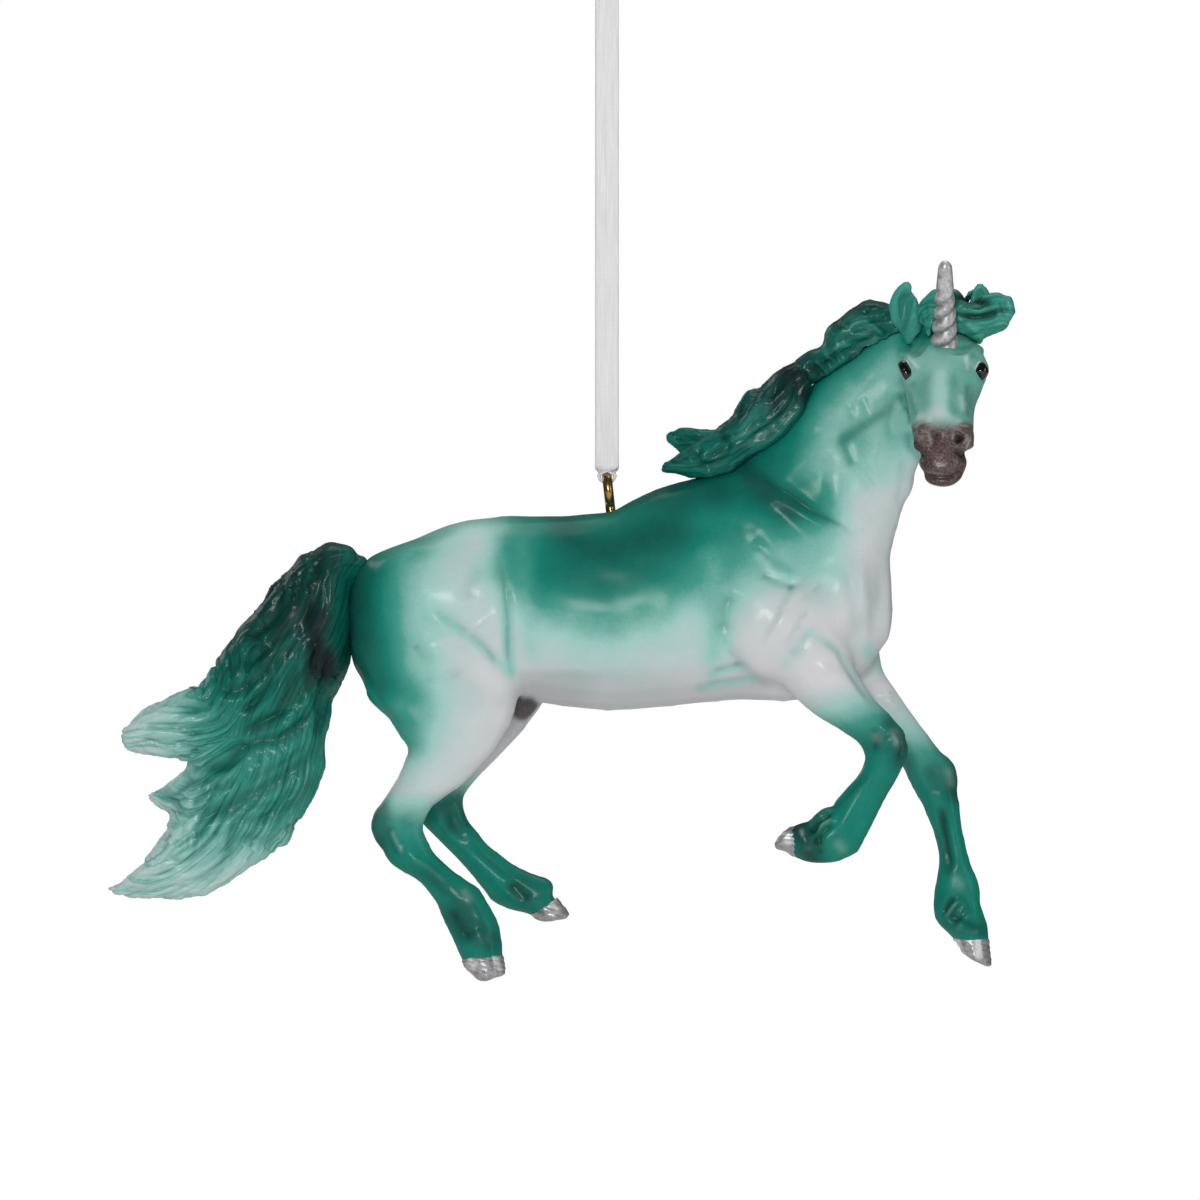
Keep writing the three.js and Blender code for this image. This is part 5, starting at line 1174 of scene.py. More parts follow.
MUZZLE_SHADES = [
    (seen_at(AT_NOSE, (911, 434), (913, 446), (921, 452)), 0.7, 0.6),
    (seen_at(AT_NOSE, (923, 456), (928, 462)), 0.8, 0.45),
    (seen_at(AT_NOSE, (957, 450), (966, 455)), 0.6, 0.6),
    (seen_at(AT_NOSE, (924, 470), (941, 474), (958, 470)), 0.7, 0.4),
    (seen_at(AT_NOSE, (921, 478), (941, 483), (960, 478)), 0.6, 0.45),
    (seen_at(AT_NOSE, (960, 434), (961, 442)), 0.5, 0.9),
]
for line, radius, value in MUZZLE_SHADES:
    hide.spray(line, radius, value, 0.9, "cavity", NEAR, FACE)
# Painted shade in the hollows and painted highlights on the ridges of the hide
hide.paint_shade_and_highlights(0.75, 0.08)
hide.finish("painted_hide", HIDE_PAINT, "pearl_hide", *HIDE_NODES)

# Strand lines: share of the depth, lines across, sway in lines, phase
STRANDS = [(1.0, 1.0, 0.0, 0.2), (0.42, 2.3, 0.25, 1.3), (0.2, 5.1, 0.5, 2.7)]


# Hair: locks follow their own spines; the strands are grooves that run with them
def nearest_lock(spot, locks):
    """For each spot (x, z): the share across its nearest lock, and the mm along it and off its spine."""
    best = np.full(len(spot), 1e9)
    across, along, offset = np.zeros(len(spot)), np.zeros(len(spot)), np.zeros(len(spot))
    for number, lock in enumerate(locks):
        edges = np.array(lock, float)
        upper_edge, lower_edge = edges[:, :2], edges[:, 2:]
        spine = curve_through((upper_edge + lower_edge) / 2, 5)
        half = np.interp(np.linspace(0, 1, len(spine)), np.linspace(0, 1, len(edges)),
                         np.linalg.norm(upper_edge - lower_edge, axis=1) / 2)
        lengths = np.concatenate([[0], np.cumsum(np.linalg.norm(np.diff(spine, axis=0), axis=1))])
        for k in range(len(spine) - 1):
            step = spine[k + 1] - spine[k]
            rel = spot - spine[k]
            t = np.clip(rel @ step / (step @ step), 0 if k else -3, 1 if k < len(spine) - 2 else 3)
            gap = rel - t[:, None] * step
            breadth = half[k] + (half[k + 1] - half[k]) * np.clip(t, 0, 1) + 0.3
            distance = np.hypot(gap[:, 0], gap[:, 1]) / breadth
            closer = distance < best
            best[closer] = distance[closer]
            hand = np.sign(step[0] * rel[:, 1] - step[1] * rel[:, 0])
            across[closer] = (distance * hand)[closer]
            offset[closer] = (distance * breadth * hand)[closer] + 3.7 * number
            along[closer] = (lengths[k] + t * np.linalg.norm(step))[closer] + 7.3 * number
    return across, along, offset


def combed(clay, locks, strands, depth, seed):
    """Grooves along the lock that each point belongs to, bunched towards the tip."""
    across, along, offset = nearest_lock(clay.p[:, [0, 2]], locks)
    around = (across + np.sign(clay.p[:, 1]) * 0.21) * strands / 2
    sway = (0.42 * np.sin(along * 0.5 + across * 1.1 + seed)
            + 0.3 * np.sin(along * 0.27 - across * 2 + 2 * seed))
    valley = np.zeros(len(clay.p))
    for share, f, drift, phase in STRANDS:
        wander = drift * np.sin(along * 0.41 + phase * 3 + across * f)
        line = np.abs(np.sin(math.pi * ((around + sway) * f + wander + phase + seed)))
        fade = 0.6 + 0.4 * np.sin(along * 0.33 + across * 2.7 * f + phase * 2 + seed)
        clay.rise += depth * share * fade * (np.minimum(line * 1.6, 1) ** 0.8 - 0.75)
        valley = np.maximum(valley, share * fade * smooth(-line, -0.42, -0.04))
    # Dark wash and painted shade in the grooves between the strands
    clay.paint["cavity"] = np.clip(0.55 * valley, 0, 0.8)
    clay.paint["strand"] = offset + 0.9 * clay.p[:, 1]
    clay.paint["flow"] = along


# Locks of the hair: x and z of the upper and then of the lower edge, row by row (mm)
MANE_UPPER = [
    [[41.6, 26.6, 41.6, 22.4], [38, 27.4, 38.4, 21.9], [34.4, 28.1, 34.6, 20.9], [30.6, 26.6, 30.9, 19],
     [27.8, 23, 28.6, 17.6], [25, 20, 26.2, 15.8]],
    [[38, 26, 38.6, 18.6], [34, 26, 34.8, 14], [30, 22, 31, 10], [27, 16, 27.6, 8]],
]
MANE_LOWER = [
    [[24.4, 20, 27, 15.8], [21.4, 18, 25.6, 12.6], [18.2, 15.6, 23, 9.4], [15.7, 12.2, 19.6, 7.2],
     [13, 10, 16, 5], [10, 8.2, 11.4, 3.9], [7.2, 6.3, 8.2, 4.9]],
    [[26, 17, 28.6, 8], [22, 13.6, 25, 3.6], [18, 9.6, 20, 0.8], [14.4, 5, 15.4, 0.2]],
]
MANE_WING = [[[15.6, 10.8, 14, 7], [12.4, 10.8, 11.6, 7], [9.8, 10.9, 9.4, 7.4], [7.8, 10.4, 8, 8.7]]]
FORELOCK = [
    [[41.2, 27.8, 41.4, 24.4], [42.9, 29.5, 42.9, 23.8], [45.6, 29.5, 45.6, 23], [48.4, 28.4, 48.8, 22.3],
     [51.4, 29, 51.8, 23.6], [53.1, 28.2, 53.1, 25.1]],
    [[45, 26.8, 46.6, 24.6], [46.6, 28.6, 48.6, 26], [48.4, 29.9, 49.6, 28.6]],
]
TAIL = [
    [[-32.4, -5, -33.6, -9.6], [-37.4, -4.6, -34.4, -12], [-41.6, -6.1, -34.6, -16.6],
     [-45, -9.6, -35.2, -20.6], [-49, -15, -37, -25],
     [-52.4, -20.2, -38.2, -30], [-55, -25, -38.4, -34.4], [-55.6, -31, -39.4, -38.2],
     [-57.6, -37, -41.8, -42], [-59.6, -43, -45, -45.8], [-62.6, -47.2, -51, -49.8], [-65.4, -49.6, -57, -52],
     [-67, -50.3, -64.6, -51.6]],
    [[-50.6, -17, -47, -28], [-54.2, -22.8, -50, -33], [-58.4, -24.6, -55, -33.8], [-62, -26.1, -59.6, -33.1],
     [-64.8, -29, -64.2, -32.2]],
    [[-53, -29, -50, -40], [-56.4, -34.4, -54, -42], [-59.4, -36.8, -57.8, -41.6],
     [-61.4, -37.8, -60.6, -39.4]],
]

# Long grooves of the tail: points, width, height, dark wash and painted shade
TAIL_LINES = [
    (px((294, 660), (293, 690), (279, 714), (254, 729), (234, 737)), 0.75, -0.62, 0.7),
    (px((312, 700), (303, 722), (285, 736), (259, 741), (239, 751), (227, 764), (208, 768), (186, 769)),
     0.6, -0.55, 0.7),
    (px((321, 735), (310, 757), (285, 776), (249, 796), (229, 808), (209, 814), (188, 819)), 0.7, -0.55, 0.6),
    (px((316, 765), (307, 793), (289, 808), (259, 818), (234, 822)), 0.55, -0.4, 0.45),
    (px((289, 832), (272, 842), (249, 838), (234, 846), (224, 863), (209, 876), (184, 884)), 0.6, -0.42, 0.4),
    (px((142, 730), (160, 724), (178, 727), (204, 735)), 0.45, -0.3, 0.35),
    (px((136, 741), (165, 739), (184, 744), (207, 754)), 0.45, -0.32, 0.35),
    (px((140, 712), (169, 703), (184, 705), (204, 712)), 0.45, -0.26, 0.3),
    (px((122, 747), (145, 744), (167, 749), (186, 757)), 0.4, -0.22, 0.25),
    (px((154, 793), (170, 796), (182, 788), (190, 783), (205, 781), (221, 780)), 0.45, -0.42, 0.5),
    (px((189, 811), (199, 797), (214, 787), (228, 784), (241, 775)), 0.5, -0.36, 0.4),
    (px((160, 853), (182, 861), (199, 853), (209, 838), (230, 826)), 0.45, -0.3, 0.35),
    (px((150, 872), (175, 870), (198, 866), (219, 852), (240, 846)), 0.4, -0.24, 0.3),
    (px((115, 888), (145, 888), (175, 886), (199, 878)), 0.4, -0.2, 0.25),
    (px((333, 640), (327, 674), (319, 699), (320, 719), (314, 744)), 0.5, -0.45, 0.7),
    (px((314, 630), (318, 655), (309, 680), (311, 700)), 0.6, -0.5, 0.8),
    (px((322, 560), (318, 590), (306, 615), (300, 640)), 0.6, -0.42, 0.6),
    (px((300, 548), (285, 575), (282, 600), (268, 625), (240, 645)), 0.55, -0.42, 0.6),
    (px((283, 552), (268, 580), (258, 600), (236, 625), (222, 650)), 0.5, -0.36, 0.5),
    (px((312, 556), (301, 585), (296, 610), (283, 635), (262, 655), (240, 672)), 0.5, -0.4, 0.55),
    (px((283, 672), (268, 688), (258, 702), (240, 715)), 0.45, -0.38, 0.5),
    (px((300, 640), (280, 655), (266, 672), (238, 690), (212, 688)), 0.5, -0.4, 0.5),
    (px((231, 660), (221, 680), (232, 692)), 0.5, -0.3, 0.4),
    (px((300, 780), (282, 800), (262, 806), (238, 808)), 0.4, -0.26, 0.3),
    (px((308, 742), (290, 760), (268, 772), (250, 786)), 0.4, -0.28, 0.35),
]
TAIL_MOVES = [((367, 546), (359, 556), 13), ((345, 542), (345, 544), 10), ((205, 893), (205, 897), 12),
              ((235, 628), (231, 626), 10), ((283, 836), (287, 841), 10), ((328, 700), (325, 699), 14),
              ((172, 805), (174, 800), 8)]
TAIL_TOP = np.array(px((300, 540), (339, 545), (361, 548), (381, 555)))
TAIL_SPRAYS = [
    (px((320, 620), (324, 668)), 2.6, 1.0, 1.0, 0.3),
    (px((352, 556), (345, 600), (336, 640)), 1.6, 0.1, 0.7, 0.0),
]
# Where the dock and the dark and light parts of the tail begin and are full (mm, then pixels)
DOCK_BEHIND, DOCK_NARROW, DOCK_ABOVE = (-44, -38), (-38, -33), (-14, -8)
DOCK_SWELL, CALM_BEHIND = (-41, -37), (-35, -40)
TAIL_DARK_ABOVE, TAIL_DARK_LEFT_OF, TAIL_FADE = (580, 760), (-362, -335), (600, 800)
TIPS_LEFT_OF, TIPS_BELOW = (-232, -150), (800, 890)
tail = Clay(["tail"], voxel=0.4, inflate=0.05, rounds=8)
root_top = np.interp(tail.p[:, 0], TAIL_TOP[:, 0], TAIL_TOP[:, 1])
tail.p[:, 2] = np.where(tail.p[:, 0] > TAIL_TOP[0, 0], np.minimum(tail.p[:, 2], root_top), tail.p[:, 2])
tail.iron(30, smooth(tail.p[:, 0], *DOCK_BEHIND))
tail.p[:, 1] *= 1 - 0.45 * smooth(tail.p[:, 0], *DOCK_NARROW) * smooth(tail.p[:, 2], *DOCK_ABOVE)
tail.nudge(TAIL_MOVES)
tail.p += tail.n * (0.5 * smooth(tail.p[:, 0], *DOCK_SWELL))[:, None]
tail.refresh()
combed(tail, TAIL, strands=4.6, depth=0.5, seed=0.0)
tail.rise *= 0.25 + 0.55 * smooth(tail.p[:, 0], *CALM_BEHIND)
for line, width, height, wash_and_shade in TAIL_LINES:
    tail.stroke(line, 1.5 * width, 1.1 * height, BOTH, tip=0.2, wash_and_shade=min(1.0, 1.2 * wash_and_shade), lip=-0.3 * height)
tail.rise = tail.blur(tail.rise, 1)
tail.settle()
tail_x, tail_y = tail.picture()
tips = np.maximum(smooth(-tail_x, *TIPS_LEFT_OF), smooth(tail_y, *TIPS_BELOW))
tail.paint["coal"] = 0.1 + 0.5 * (1 - smooth(tail_y, *TAIL_DARK_ABOVE)) * smooth(-tail_x, *TAIL_DARK_LEFT_OF)
tail.paint["coal"] *= 1 - tips
tail.paint["tone"] = (0.94 - 0.34 * smooth(tail_y, *TAIL_FADE)) * (1 - tips) + 0.2 * tips
for line, radius, value, strength, hard in TAIL_SPRAYS:
    tail.spray(line, radius, value, strength, "coal", hard=hard)
tail.paint_shade_and_highlights(0.7, 0.06, reach=0.16)
tail.finish("painted_tail", HAIR_PAINT, "dark_hair", "tail")

# Curls and folds of the mane, from the photograph: points, width, height, dark wash and painted shade
UPPER_LINES = [
    (px((842, 328), (850, 320), (861, 315), (872, 313)), 0.5, -0.5, 0.6),
    (px((845, 340), (853, 343), (864, 342), (873, 337), (877, 330)), 0.45, -0.45, 0.6),
    (px((850, 333), (858, 328), (868, 329), (876, 336), (884, 343)), 0.4, -0.4, 0.5),
    (px((866, 322), (876, 322), (885, 330), (889, 339)), 0.45, -0.42, 0.55),
    (px((836, 350), (848, 352), (862, 348), (876, 346)), 0.45, -0.4, 0.5),
    (px((826, 346), (832, 354), (841, 361)), 0.45, -0.5, 0.6),
    (px((817, 353), (825, 361), (834, 368)), 0.45, -0.5, 0.6),
    (px((808, 362), (816, 369), (824, 376)), 0.4, -0.45, 0.6),
    (px((830, 330), (840, 318), (853, 308), (866, 304)), 0.5, -0.36, 0.5),
    (px((822, 362), (830, 358), (838, 364)), 0.3, 0.3, 0),
    (px((812, 382), (828, 371), (846, 360), (866, 352), (884, 346)), 0.4, 0.4, 0),
    (px((846, 324), (858, 317), (868, 316)), 0.4, 0.35, 0),
    (px((878, 306), (884, 312), (887, 322)), 0.5, 0.3, 0),
]
LOWER_LINES = [
    (px((792, 372), (797, 388), (791, 408), (775, 424), (756, 436), (738, 444)), 0.6, -0.55, 0.6),
    (px((781, 373), (765, 386), (752, 401), (741, 417), (729, 432)), 0.45, -0.42, 0.5),
    (px((787, 380), (774, 393), (764, 406), (754, 421), (738, 436)), 0.45, -0.45, 0.5),
    (px((774, 376), (758, 388), (744, 405), (732, 420), (722, 430)), 0.4, -0.36, 0.5),
    (px((788, 392), (779, 404), (768, 416), (752, 429)), 0.4, -0.36, 0.4),
    (px((745, 412), (754, 407), (764, 404), (773, 398)), 0.5, 0.42, 0),
    (px((803, 390), (800, 404), (789, 422), (776, 434), (760, 445), (746, 454)), 0.7, 0.5, 0),
    (px((716, 430), (724, 440), (718, 452), (706, 458)), 0.4, -0.5, 0.6),
    (px((728, 436), (728, 450), (716, 462), (700, 466)), 0.4, -0.45, 0.6),
    (px((704, 446), (697, 456), (704, 466), (716, 468)), 0.4, -0.45, 0.6),
    (px((700, 478), (716, 474), (732, 468), (744, 460)), 0.4, 0.35, 0),
]
FORELOCK_LINES = [
    (px((955, 295), (966, 299), (976, 303), (986, 303)), 0.45, -0.55, 0.9),
    (px((957, 314), (973, 318), (988, 316.5), (1001, 311)), 0.5, -0.65, 0.95),
    (px((960, 306), (972, 309), (984, 309)), 0.4, -0.3, 0.5),
    (px((962, 322), (970, 328), (977, 336)), 0.45, 0.35, 0),
    (px((975, 326), (985, 330), (996, 326)), 0.5, -0.25, 0.3),
    (px((1004, 297), (1009, 306), (1010, 318)), 0.5, 0.35, 0),
    (px((998, 300), (1003, 308), (1004, 318)), 0.4, -0.35, 0.4),
    (px((922, 300), (926, 312), (924, 326)), 0.45, -0.35, 0.5),
]
WING_LINES = [
    (px((673, 436), (684, 438), (700, 440)), 0.4, -0.35, 0.5),
    (px((676, 446), (688, 447), (702, 446)), 0.4, -0.3, 0.4),
    (px((674, 432), (688, 431), (704, 434)), 0.35, 0.3, 0),
]
UPPER_MOVES = [((818, 342), (823, 347), 10), ((838, 311), (841, 313), 9), ((803, 366), (796, 368), 9)]
LOWER_MOVES = [((665, 470), (662, 472), 6), ((745, 398), (745, 396), 12), ((796, 363), (799, 364), 8)]
FORELOCK_MOVES = [((970, 296), (970, 300), 7), ((1005, 330), (1008, 331), 8), ((1014, 306), (1011, 306), 6),
                  ((981, 276), (979, 284), 8)]

# Paint of the locks: points, radius, value, strength, key
UPPER_SPRAYS = [
    (px((834, 322), (850, 309), (880, 304)), 1.4, 0.8, 0.8, "coal"),
    (px((794, 366), (802, 376), (808, 384)), 1.5, 1.0, 0.95, "coal"),
    (px((852, 322), (866, 326), (872, 336)), 1.4, 0.45, 0.8, "tone"),
    (px((806, 356), (816, 370), (824, 380)), 1.2, 0.8, 0.8, "coal"),
    (px((828, 352), (846, 345), (874, 345)), 0.8, 0.5, 0.7, "tone"),
]
LOWER_SPRAYS = [
    (px((790, 370), (782, 388), (776, 402)), 2.0, 0.95, 0.95, "coal"),
    (px((765, 385), (740, 412), (722, 430)), 1.3, 0.6, 0.7, "coal"),
    (px((776, 400), (760, 412), (744, 432)), 1.0, 0.5, 0.7, "tone"),
    (px((782, 364), (800, 378), (804, 396)), 1.7, 0.95, 0.95, "coal"),
    (px((796, 402), (780, 424), (752, 444)), 0.9, 0.62, 0.7, "tone"),
    # Painted shade at the root of the lower lock, under the upper one
    (px((786, 364), (800, 384), (802, 396)), 2.2, 0.7, 0.85, "cavity"),
]
FORELOCK_SPRAYS = [
    (px((950, 297), (968, 301), (986, 304)), 0.8, 0.95, 0.9, "coal"),
    (px((956, 315), (974, 318), (1000, 312)), 0.45, 0.9, 0.8, "coal"),
    (px((968, 328), (985, 334), (1002, 324)), 1.3, 0.5, 0.85, "tone"),
    (px((1004, 300), (1009, 312)), 1.0, 0.55, 0.8, "tone"),
]


def hair_lock(node, locks, strands, depth, seed, coal, tone, light, lines, moves=(), sprays=()):
    clay = Clay([node], voxel=0.36, inflate=0.05, rounds=6)
    clay.nudge(moves)
    combed(clay, locks, strands, depth, seed)
    for line, width, height, wash_and_shade in lines:
        clay.stroke(line, width * 1.1, height, BOTH, wash_and_shade=wash_and_shade, lip=-0.2 * height)
    clay.rise = clay.blur(clay.rise, 1)
    clay.settle()
    clay.paint["tone"][:] = tone
    clay.paint["coal"][:] = coal
    clay.paint_shade_and_highlights(0.85, light, reach=0.16)
    for spray in sprays:
        clay.spray(*spray)
    clay.finish("painted_" + node, HAIR_PAINT, "dark_hair", node)


hair_lock("mane_upper", MANE_UPPER, strands=3.6, depth=0.168, seed=0.3, coal=0.3, tone=0.86, light=0.022,
          lines=UPPER_LINES, moves=UPPER_MOVES, sprays=UPPER_SPRAYS)
hair_lock("mane_lower", MANE_LOWER, strands=3.8, depth=0.168, seed=1.1, coal=0.32, tone=0.84, light=0.022,
          lines=LOWER_LINES, moves=LOWER_MOVES, sprays=LOWER_SPRAYS)
hair_lock("mane_flyaway", MANE_WING, strands=4.0, depth=0.098, seed=0.7, coal=0.12, tone=0.85, light=0.0264,
          lines=WING_LINES)
hair_lock("forelock", FORELOCK, strands=3.0, depth=0.084, seed=0.2, coal=0.03, tone=0.62, light=0.022,
          lines=FORELOCK_LINES, moves=FORELOCK_MOVES, sprays=FORELOCK_SPRAYS)

# Ears: a hollow with two raised edges
EAR_LINES = [
    (px((907, 292), (903, 312), (901, 334)), 0.9, -0.55),
    (px((893, 330), (891, 308), (898, 288)), 0.5, 0.22),
    (px((913, 300), (909, 320), (904, 338)), 0.4, 0.22),
    (px((914, 292), (917, 298)), 0.7, -0.5),
]
EAR_MOVES = {
    "right_ear": [((905, 276), (906, 282), 9), ((893, 300), (890, 304), 12), ((893, 320), (891, 324), 10),
                  ((915, 292), (912, 292), 5), ((916, 312), (917, 312), 9)],
    "left_ear": [((981, 276), (979, 284), 10), ((990, 290), (988, 292), 7)],
}
EAR_SHADE = px((905, 296), (902, 330))
EAR_TONE, EAR_TIP_FADE = 0.64, (26, 31)
for ear, moves in EAR_MOVES.items():
    leaf = Clay([ear], voxel=0.25, inflate=0.0, rounds=4)
    leaf.iron(8, np.ones(len(leaf.p)))
    leaf.nudge(moves)
    for line, width, height in EAR_LINES:
        leaf.stroke(line, width, height, NEAR)
    leaf.settle()
    leaf.paint["tone"][:] = EAR_TONE
    leaf.spray(EAR_SHADE, 0.8, 0.5, 0.6, "coal", NEAR)
    leaf.paint["tone"] -= 0.1 * smooth(leaf.p[:, 2], *EAR_TIP_FADE)
    leaf.paint_shade_and_highlights(0.7, 0.2)
    leaf.finish("painted_" + ear, HIDE_PAINT, "pearl_hide", ear)

# Hooves: silver shells with fine growth rings
HOOF_SHADE = 0.5
HOOF_PAINT_THICK = 0.14
GROWTH_RING, GROWTH_RINGS_PER_MM = 0.035, 9
HOOF_GLINTS = [
    (px((957, 942), (963, 954)), 0.5, 0.75),
    (px((978, 941), (979, 956)), 0.6, 0.85),
    (px((470, 956), (474, 966)), 0.6, 0.7),
    (px((497, 958), (500, 968)), 0.5, 0.7),
    (px((552, 904), (558, 910)), 0.5, 0.7),
    (px((786, 834), (788, 842)), 0.5, 0.4),
]
for hoof, moves in HOOF_MOVES.items():
    shell = Clay([hoof], voxel=0.3, inflate=0.0, rounds=4)
    shell.p += shell.n * HOOF_PAINT_THICK
    below_top = shell.p[:, 2] - shell.p[:, 2].max()
    shell.rise += GROWTH_RING * np.sin(below_top * GROWTH_RINGS_PER_MM + shell.p[:, 0] * 1.5)
    shell.settle()
    shell.nudge(moves)
    shell.paint["cavity"] += HOOF_SHADE
    for line, radius, value in HOOF_GLINTS:
        shell.spray(line, radius, value, 0.9, "ridge", NEAR)
    shell.paint_shade_and_highlights(0.5, 0.0, reach=0.06)
    shell.finish("silver_" + hoof, SILVER, "silver_paint", hoof)

# Horn: a tapered cone with two grooves wound round it, which fade before the smooth tip
HORN_LENGTH, HORN_SUNK, HORN_BASE, HORN_TIP, HORN_PITCH = 12.5, 1.6, 4.1, 1.7, 4.2
HORN_GROOVE, HORN_SMOOTH_FROM, HORN_CAP_FROM, HORN_CAP = 0.36, 0.78, 0.93, 0.071
HORN_LEAN = math.radians(30)


def horn():
    axis = np.array([0, -math.sin(HORN_LEAN), math.cos(HORN_LEAN)])
    foot = on_head(5.4, 0.2) - axis * HORN_SUNK
    length = HORN_LENGTH + HORN_SUNK
    u = unit(np.cross(axis, [0, 1, 0]))
    v = np.cross(axis, u)
    angles = round_angles(64)
    outward = np.cos(angles)[:, None] * u + np.sin(angles)[:, None] * v
    rings, cavity = [], []
    for share in np.linspace(0, 1, 150):
        cone = (HORN_BASE + (HORN_TIP - HORN_BASE) * share) / 2
        wave = 0.5 + 0.5 * np.cos(2 * angles - 4 * math.pi * length * share / HORN_PITCH)
        deep = (1 - wave ** 0.5) * np.clip((HORN_SMOOTH_FROM - share) * 4, 0, 1)
        over = max(share - HORN_CAP_FROM, 0) / HORN_CAP
        radius = (cone - HORN_GROOVE * deep) * math.sqrt(max(1 - over ** 2, 0.03))
        rings.append(foot + axis * length * share + radius[:, None] * outward)
        # Painted shade in the grooves
        cavity.append(0.8 * deep)
    points, faces = skin_over(rings)
    dress(add_mesh("silver_horn", (points + FIGURE) * MM, faces,
                   {"cavity": np.concatenate([np.ravel(cavity), [0, 0]])}),
          SILVER, "silver_paint", "figure", "horn")


horn()

# Eyes: glossy black almonds with a thin white rim
EYE_RADIUS, EYE_SHAPE, EYE_HEIGHT = 1.25, 1.35, 1.12
EYE_RIM = (1.2, 1.26)


def eyeball(name, node, side, tilt, turn, shift, width):
    """Side -1 or 1; tilted round the way it looks, turned from the front, shifted (mm), as wide as width."""
    centre = EYE_SPOTS[side] + np.array(shift)
    outward = unit(np.array([side * math.sin(turn), -math.cos(turn), 0.02]))
    wide = unit(np.cross([0, 0, 1.0], outward))
    up = np.cross(outward, wide)
    wide = wide * math.cos(tilt) + up * math.sin(tilt)
    angles = round_angles(40)
    diamond = (np.abs(np.cos(angles)) ** EYE_SHAPE + np.abs(np.sin(angles)) ** EYE_SHAPE) ** (-1 / EYE_SHAPE)
    rings, rim = [], []
    for polar in np.linspace(0.04, math.pi - 0.04, 30):
        reach = EYE_RADIUS * math.sin(polar) * diamond
        rings.append(centre + outward * EYE_RADIUS * math.cos(polar)
                     + (reach * np.cos(angles) * width)[:, None] * wide
                     + (reach * np.sin(angles) * EYE_HEIGHT)[:, None] * up)
        rim.append(np.full(40, 0.8 * smooth(polar, *EYE_RIM)))
    points, faces = skin_over(rings)
    dress(add_mesh(name, (points + FIGURE) * MM, faces, {"ridge": np.concatenate([np.ravel(rim), [0, 1]])}),
          EYE_BLACK, "eye_black", "figure", node)


eyeball("glossy_right_eye", "right_eye", -1, math.radians(-38), math.radians(24), (0.14, -0.34, 0), 1.25)
eyeball("glossy_left_eye", "left_eye", 1, 0.0, math.radians(38), (0, 0, 0), 0.92)

# Screw eye: one bent wire and a threaded shank
WIRE, RING_OUTER, EYE_REACH, SHANK, THREAD, PITCH = 1.3, 5.05, 4.44, 8.0, 1.9, 0.9
BEND = 1.0
RING_END = math.radians(225)
POINT_LENGTH, POINT_BLUNT, THREAD_STOP, THREAD_FADE = 1.6, 0.35, 1.2, 0.6


def leaned(points):
    """From the eye's own upright axes to the lean that it has in the back."""
    c, s = math.cos(EYE_LEAN), math.sin(EYE_LEAN)
    turn = np.array([[c, 0, -s], [0, 1, 0], [s, 0, c]])
    return points @ turn.T


def tube(points, radius, sides=24):
    """Rings round a wire that bends in the plane across x."""
    side = np.array([1.0, 0, 0])
    rings = []
    for centre, ahead in zip(points, unit(np.gradient(points, axis=0))):
        up = unit(np.cross(ahead, side))
        rings.append([centre + radius * (side * math.cos(a) + up * math.sin(a)) for a in round_angles(sides)])
    return rings


def wire_line():
    """The middle of the wire: up out of the back, through the bend and round the ring."""
    ring = (RING_OUTER - WIRE) / 2
    height = EYE_REACH - ring
    drop = math.sqrt(ring ** 2 + 2 * ring * BEND)
    start = math.atan2(-drop, BEND)
    line = [(0, 0, -1.2), (0, 0, -0.6)]
    for i in range(1, 4):
        a = math.pi + start * i / 4
        line.append((0, BEND + BEND * math.cos(a), height - drop + BEND * math.sin(a)))
    for a in np.linspace(start, RING_END, 27):
        line.append((0, ring * math.cos(a), height + ring * math.sin(a)))
    return curve_through(line, 4)


def threaded_shank():
    angles = round_angles(32)
    rings = []
    for z in np.linspace(-SHANK, -0.5, 120):
        rise = z + SHANK
        turn = (1 + rise / PITCH - angles / (2 * math.pi)) % 1
        point = min(max(rise / POINT_LENGTH, POINT_BLUNT), 1)
        fade = min(max((SHANK - THREAD_STOP - rise) / THREAD_FADE, 0), 1)
        ridge = (THREAD - WIRE) / 2 * fade * np.clip(1 - 3 * np.abs(turn - 0.5), 0, 1)
        radius = (WIRE / 2 + ridge) * point
        rings.append(np.stack([radius * np.cos(angles), radius * np.sin(angles), np.full(32, z)], 1))
    return rings


def screw_eye():
    points, faces = skin_over(tube(wire_line(), WIRE / 2))
    more, more_faces = skin_over(threaded_shank())
    faces += [tuple(i + len(points) for i in f) for f in more_faces]
    dress(add_mesh("brass_screw_eye", (leaned(np.vstack([points, more])) + FIGURE) * MM, faces),
          BRASS, "brass_wire", "eye", "screw_eye")


screw_eye()

# Fold: the ribbon turns edge on, gathers and passes under the top of the ring
FOLD_SIDE, FOLD_UNDER = 1.02, 0.84
FOLD_ROWS = [(1.0505, 0), (0.7, 0), (0.34, 0), (0.2, 0.12), (0.12, 0.55), (0.04, 1)]
EDGE_WIDTH, GATHERED_HALF, GATHERED_THICK, WORN_THIN = 1.5, 0.7, 0.5, 0.18


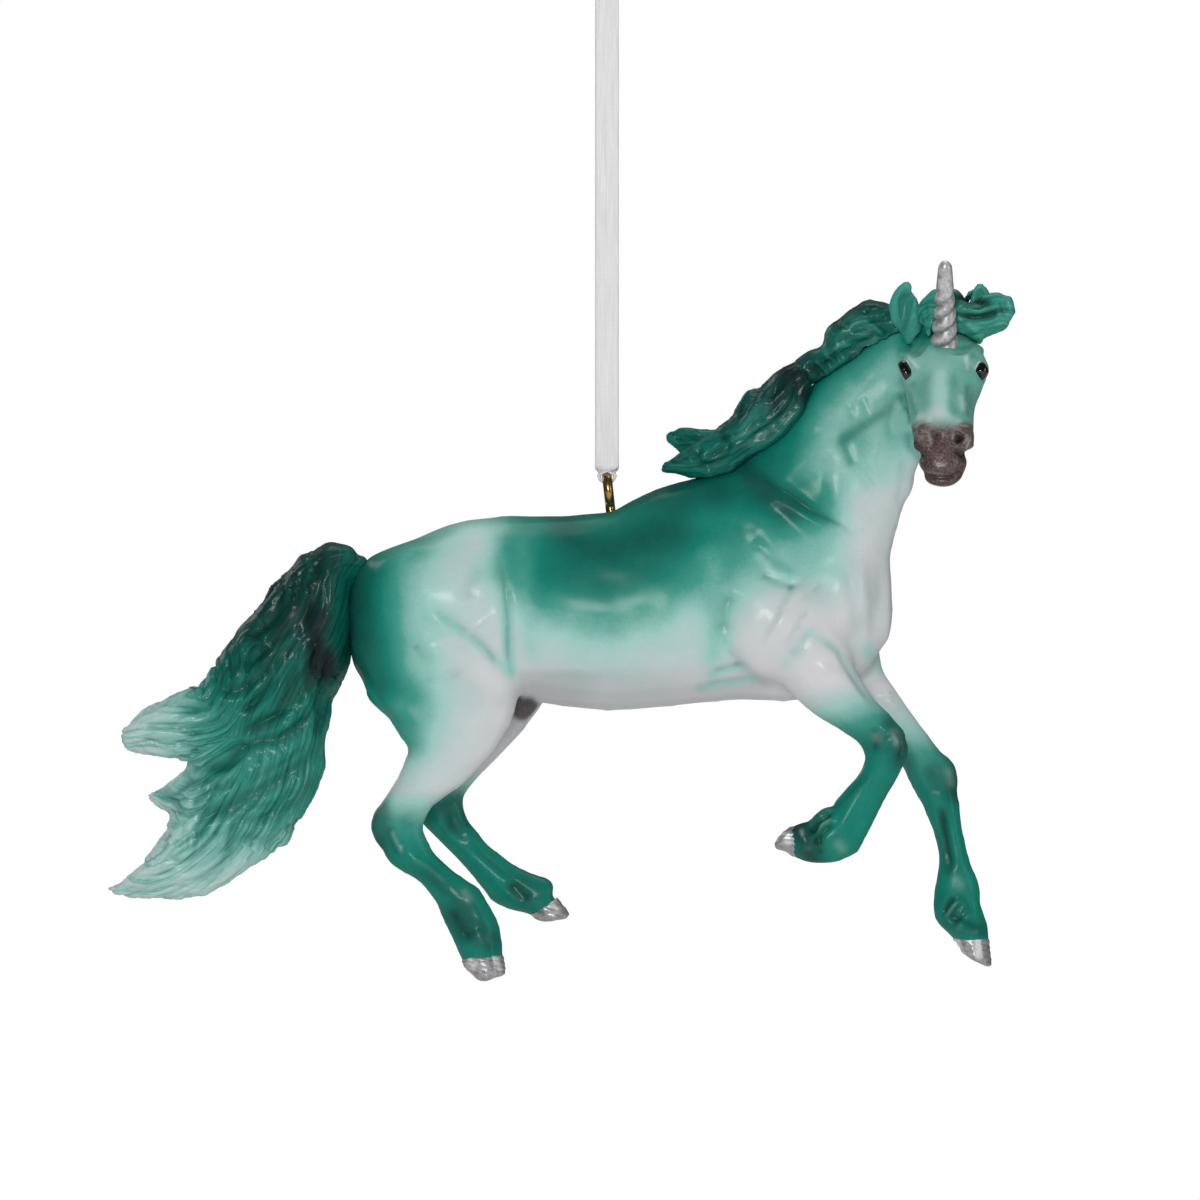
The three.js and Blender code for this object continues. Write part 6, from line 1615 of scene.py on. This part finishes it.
def ribbon_fold():
    """One side row by row (share of the height, how far it has turned), the wire, the other side mirrored."""
    fold_top = FOLD_RISE - SEAM / 2
    centres, widths, halves, thick = [], [], [], []
    for share, turned in FOLD_ROWS:
        centres.append((-FOLD_SIDE * turned, -RUN_SPACING / 2 * (1 - turned), fold_top * share))
        widths.append((math.cos(turned * math.pi / 2), -math.sin(turned * math.pi / 2), 0))
        halves.append((RIBBON_WIDTH + (EDGE_WIDTH - RIBBON_WIDTH) * turned) / 2)
        thick.append(RIBBON_THICK + (GATHERED_THICK - RIBBON_THICK) * turned)
    for a in np.radians((0, 30, 60, 90)):
        centres.append((-FOLD_SIDE * math.cos(a), 0, -FOLD_UNDER * math.sin(a)))
        widths.append((0, -1, 0))
        halves.append(GATHERED_HALF)
        thick.append(GATHERED_THICK - WORN_THIN * math.sin(a))
    half = len(centres) - 1
    centres += [(-x, -y, z) for x, y, z in centres[:half][::-1]]
    widths += [(-x, y, 0) for x, y, z in widths[:half][::-1]]
    halves += halves[:half][::-1]
    thick += thick[:half][::-1]
    centres, widths = curve_through(centres, 5), unit(curve_through(widths, 5))
    spots = np.linspace(0, 1, len(centres))
    halves = np.interp(spots, np.linspace(0, 1, len(halves)), halves)
    thick = np.interp(spots, np.linspace(0, 1, len(thick)), thick)
    bands = strip(centres + np.array([0, 0, -RIBBON_DROP]), widths, halves, thick)
    dress(ribbon_mesh("gathered_ribbon_fold", *bands), RIBBON, "white_ribbon", "fold", "ribbon_fold")


ribbon_fold()

# Knot: a wrapped band of the ribbon with its two short ends
KNOT_HEIGHT, KNOT_LENGTH, KNOT_DEEP, KNOT_TALL, KNOT_SHRINK = 4.2, 3.2, 2.0, 2.1, 0.96
END_WIDTH, END_THICK = 1.6, 0.3
END_LINE = [(1.28, 0, 0), (2.69, -0.4, 4.05), (3.2, 0.2, 9)]


def knot_body(middle):
    """Rings of the wrapped band, with grooves between its turns."""
    angles = round_angles(48)
    rings, across, along = [], [], []
    for t in np.linspace(-0.98, 0.98, 44):
        swell = math.sqrt(1 - t * t) * KNOT_SHRINK
        groove = 0.05 * np.cos(angles * 3 + t * 6) + 0.05 * math.cos(t * 14)
        rings.append([middle + np.array([KNOT_LENGTH * t, KNOT_DEEP * swell * (1 + g) * math.cos(b),
                                         KNOT_TALL * swell * (1 + g) * math.sin(b)])
                      for b, g in zip(angles, groove)])
        across.append(np.full(48, t * 2))
        along.append(angles * 2)
    return rings, np.ravel(across), np.ravel(along)


def knot_end(middle, side):
    line = curve_through([(side * x, y, middle[2] + z) for x, y, z in END_LINE], 14)
    widths = np.tile([1.0, 0, 0], (len(line), 1))
    return strip(line, widths, np.full(len(line), END_WIDTH), np.full(len(line), END_THICK))


def ribbon_knot():
    middle = np.array([0, 0, KNOT_HEIGHT / 2 + SEAM])
    points, faces, across, along = [], [], [], []
    for rings, a, l in (knot_body(middle), knot_end(middle, -1), knot_end(middle, 1)):
        more, more_faces = skin_over(rings)
        offset = sum(map(len, points))
        points.append(more)
        faces.extend(tuple(i + offset for i in f) for f in more_faces)
        across.append(np.concatenate([a, [0, 0]]))
        along.append(np.concatenate([l, [0, 0]]))
    dress(add_mesh("tied_ribbon_knot", np.vstack(points) * MM, faces,
                   {"across": np.concatenate(across), "along": np.concatenate(along)}),
          RIBBON, "white_ribbon", "hanger", "ribbon_knot")


ribbon_knot()
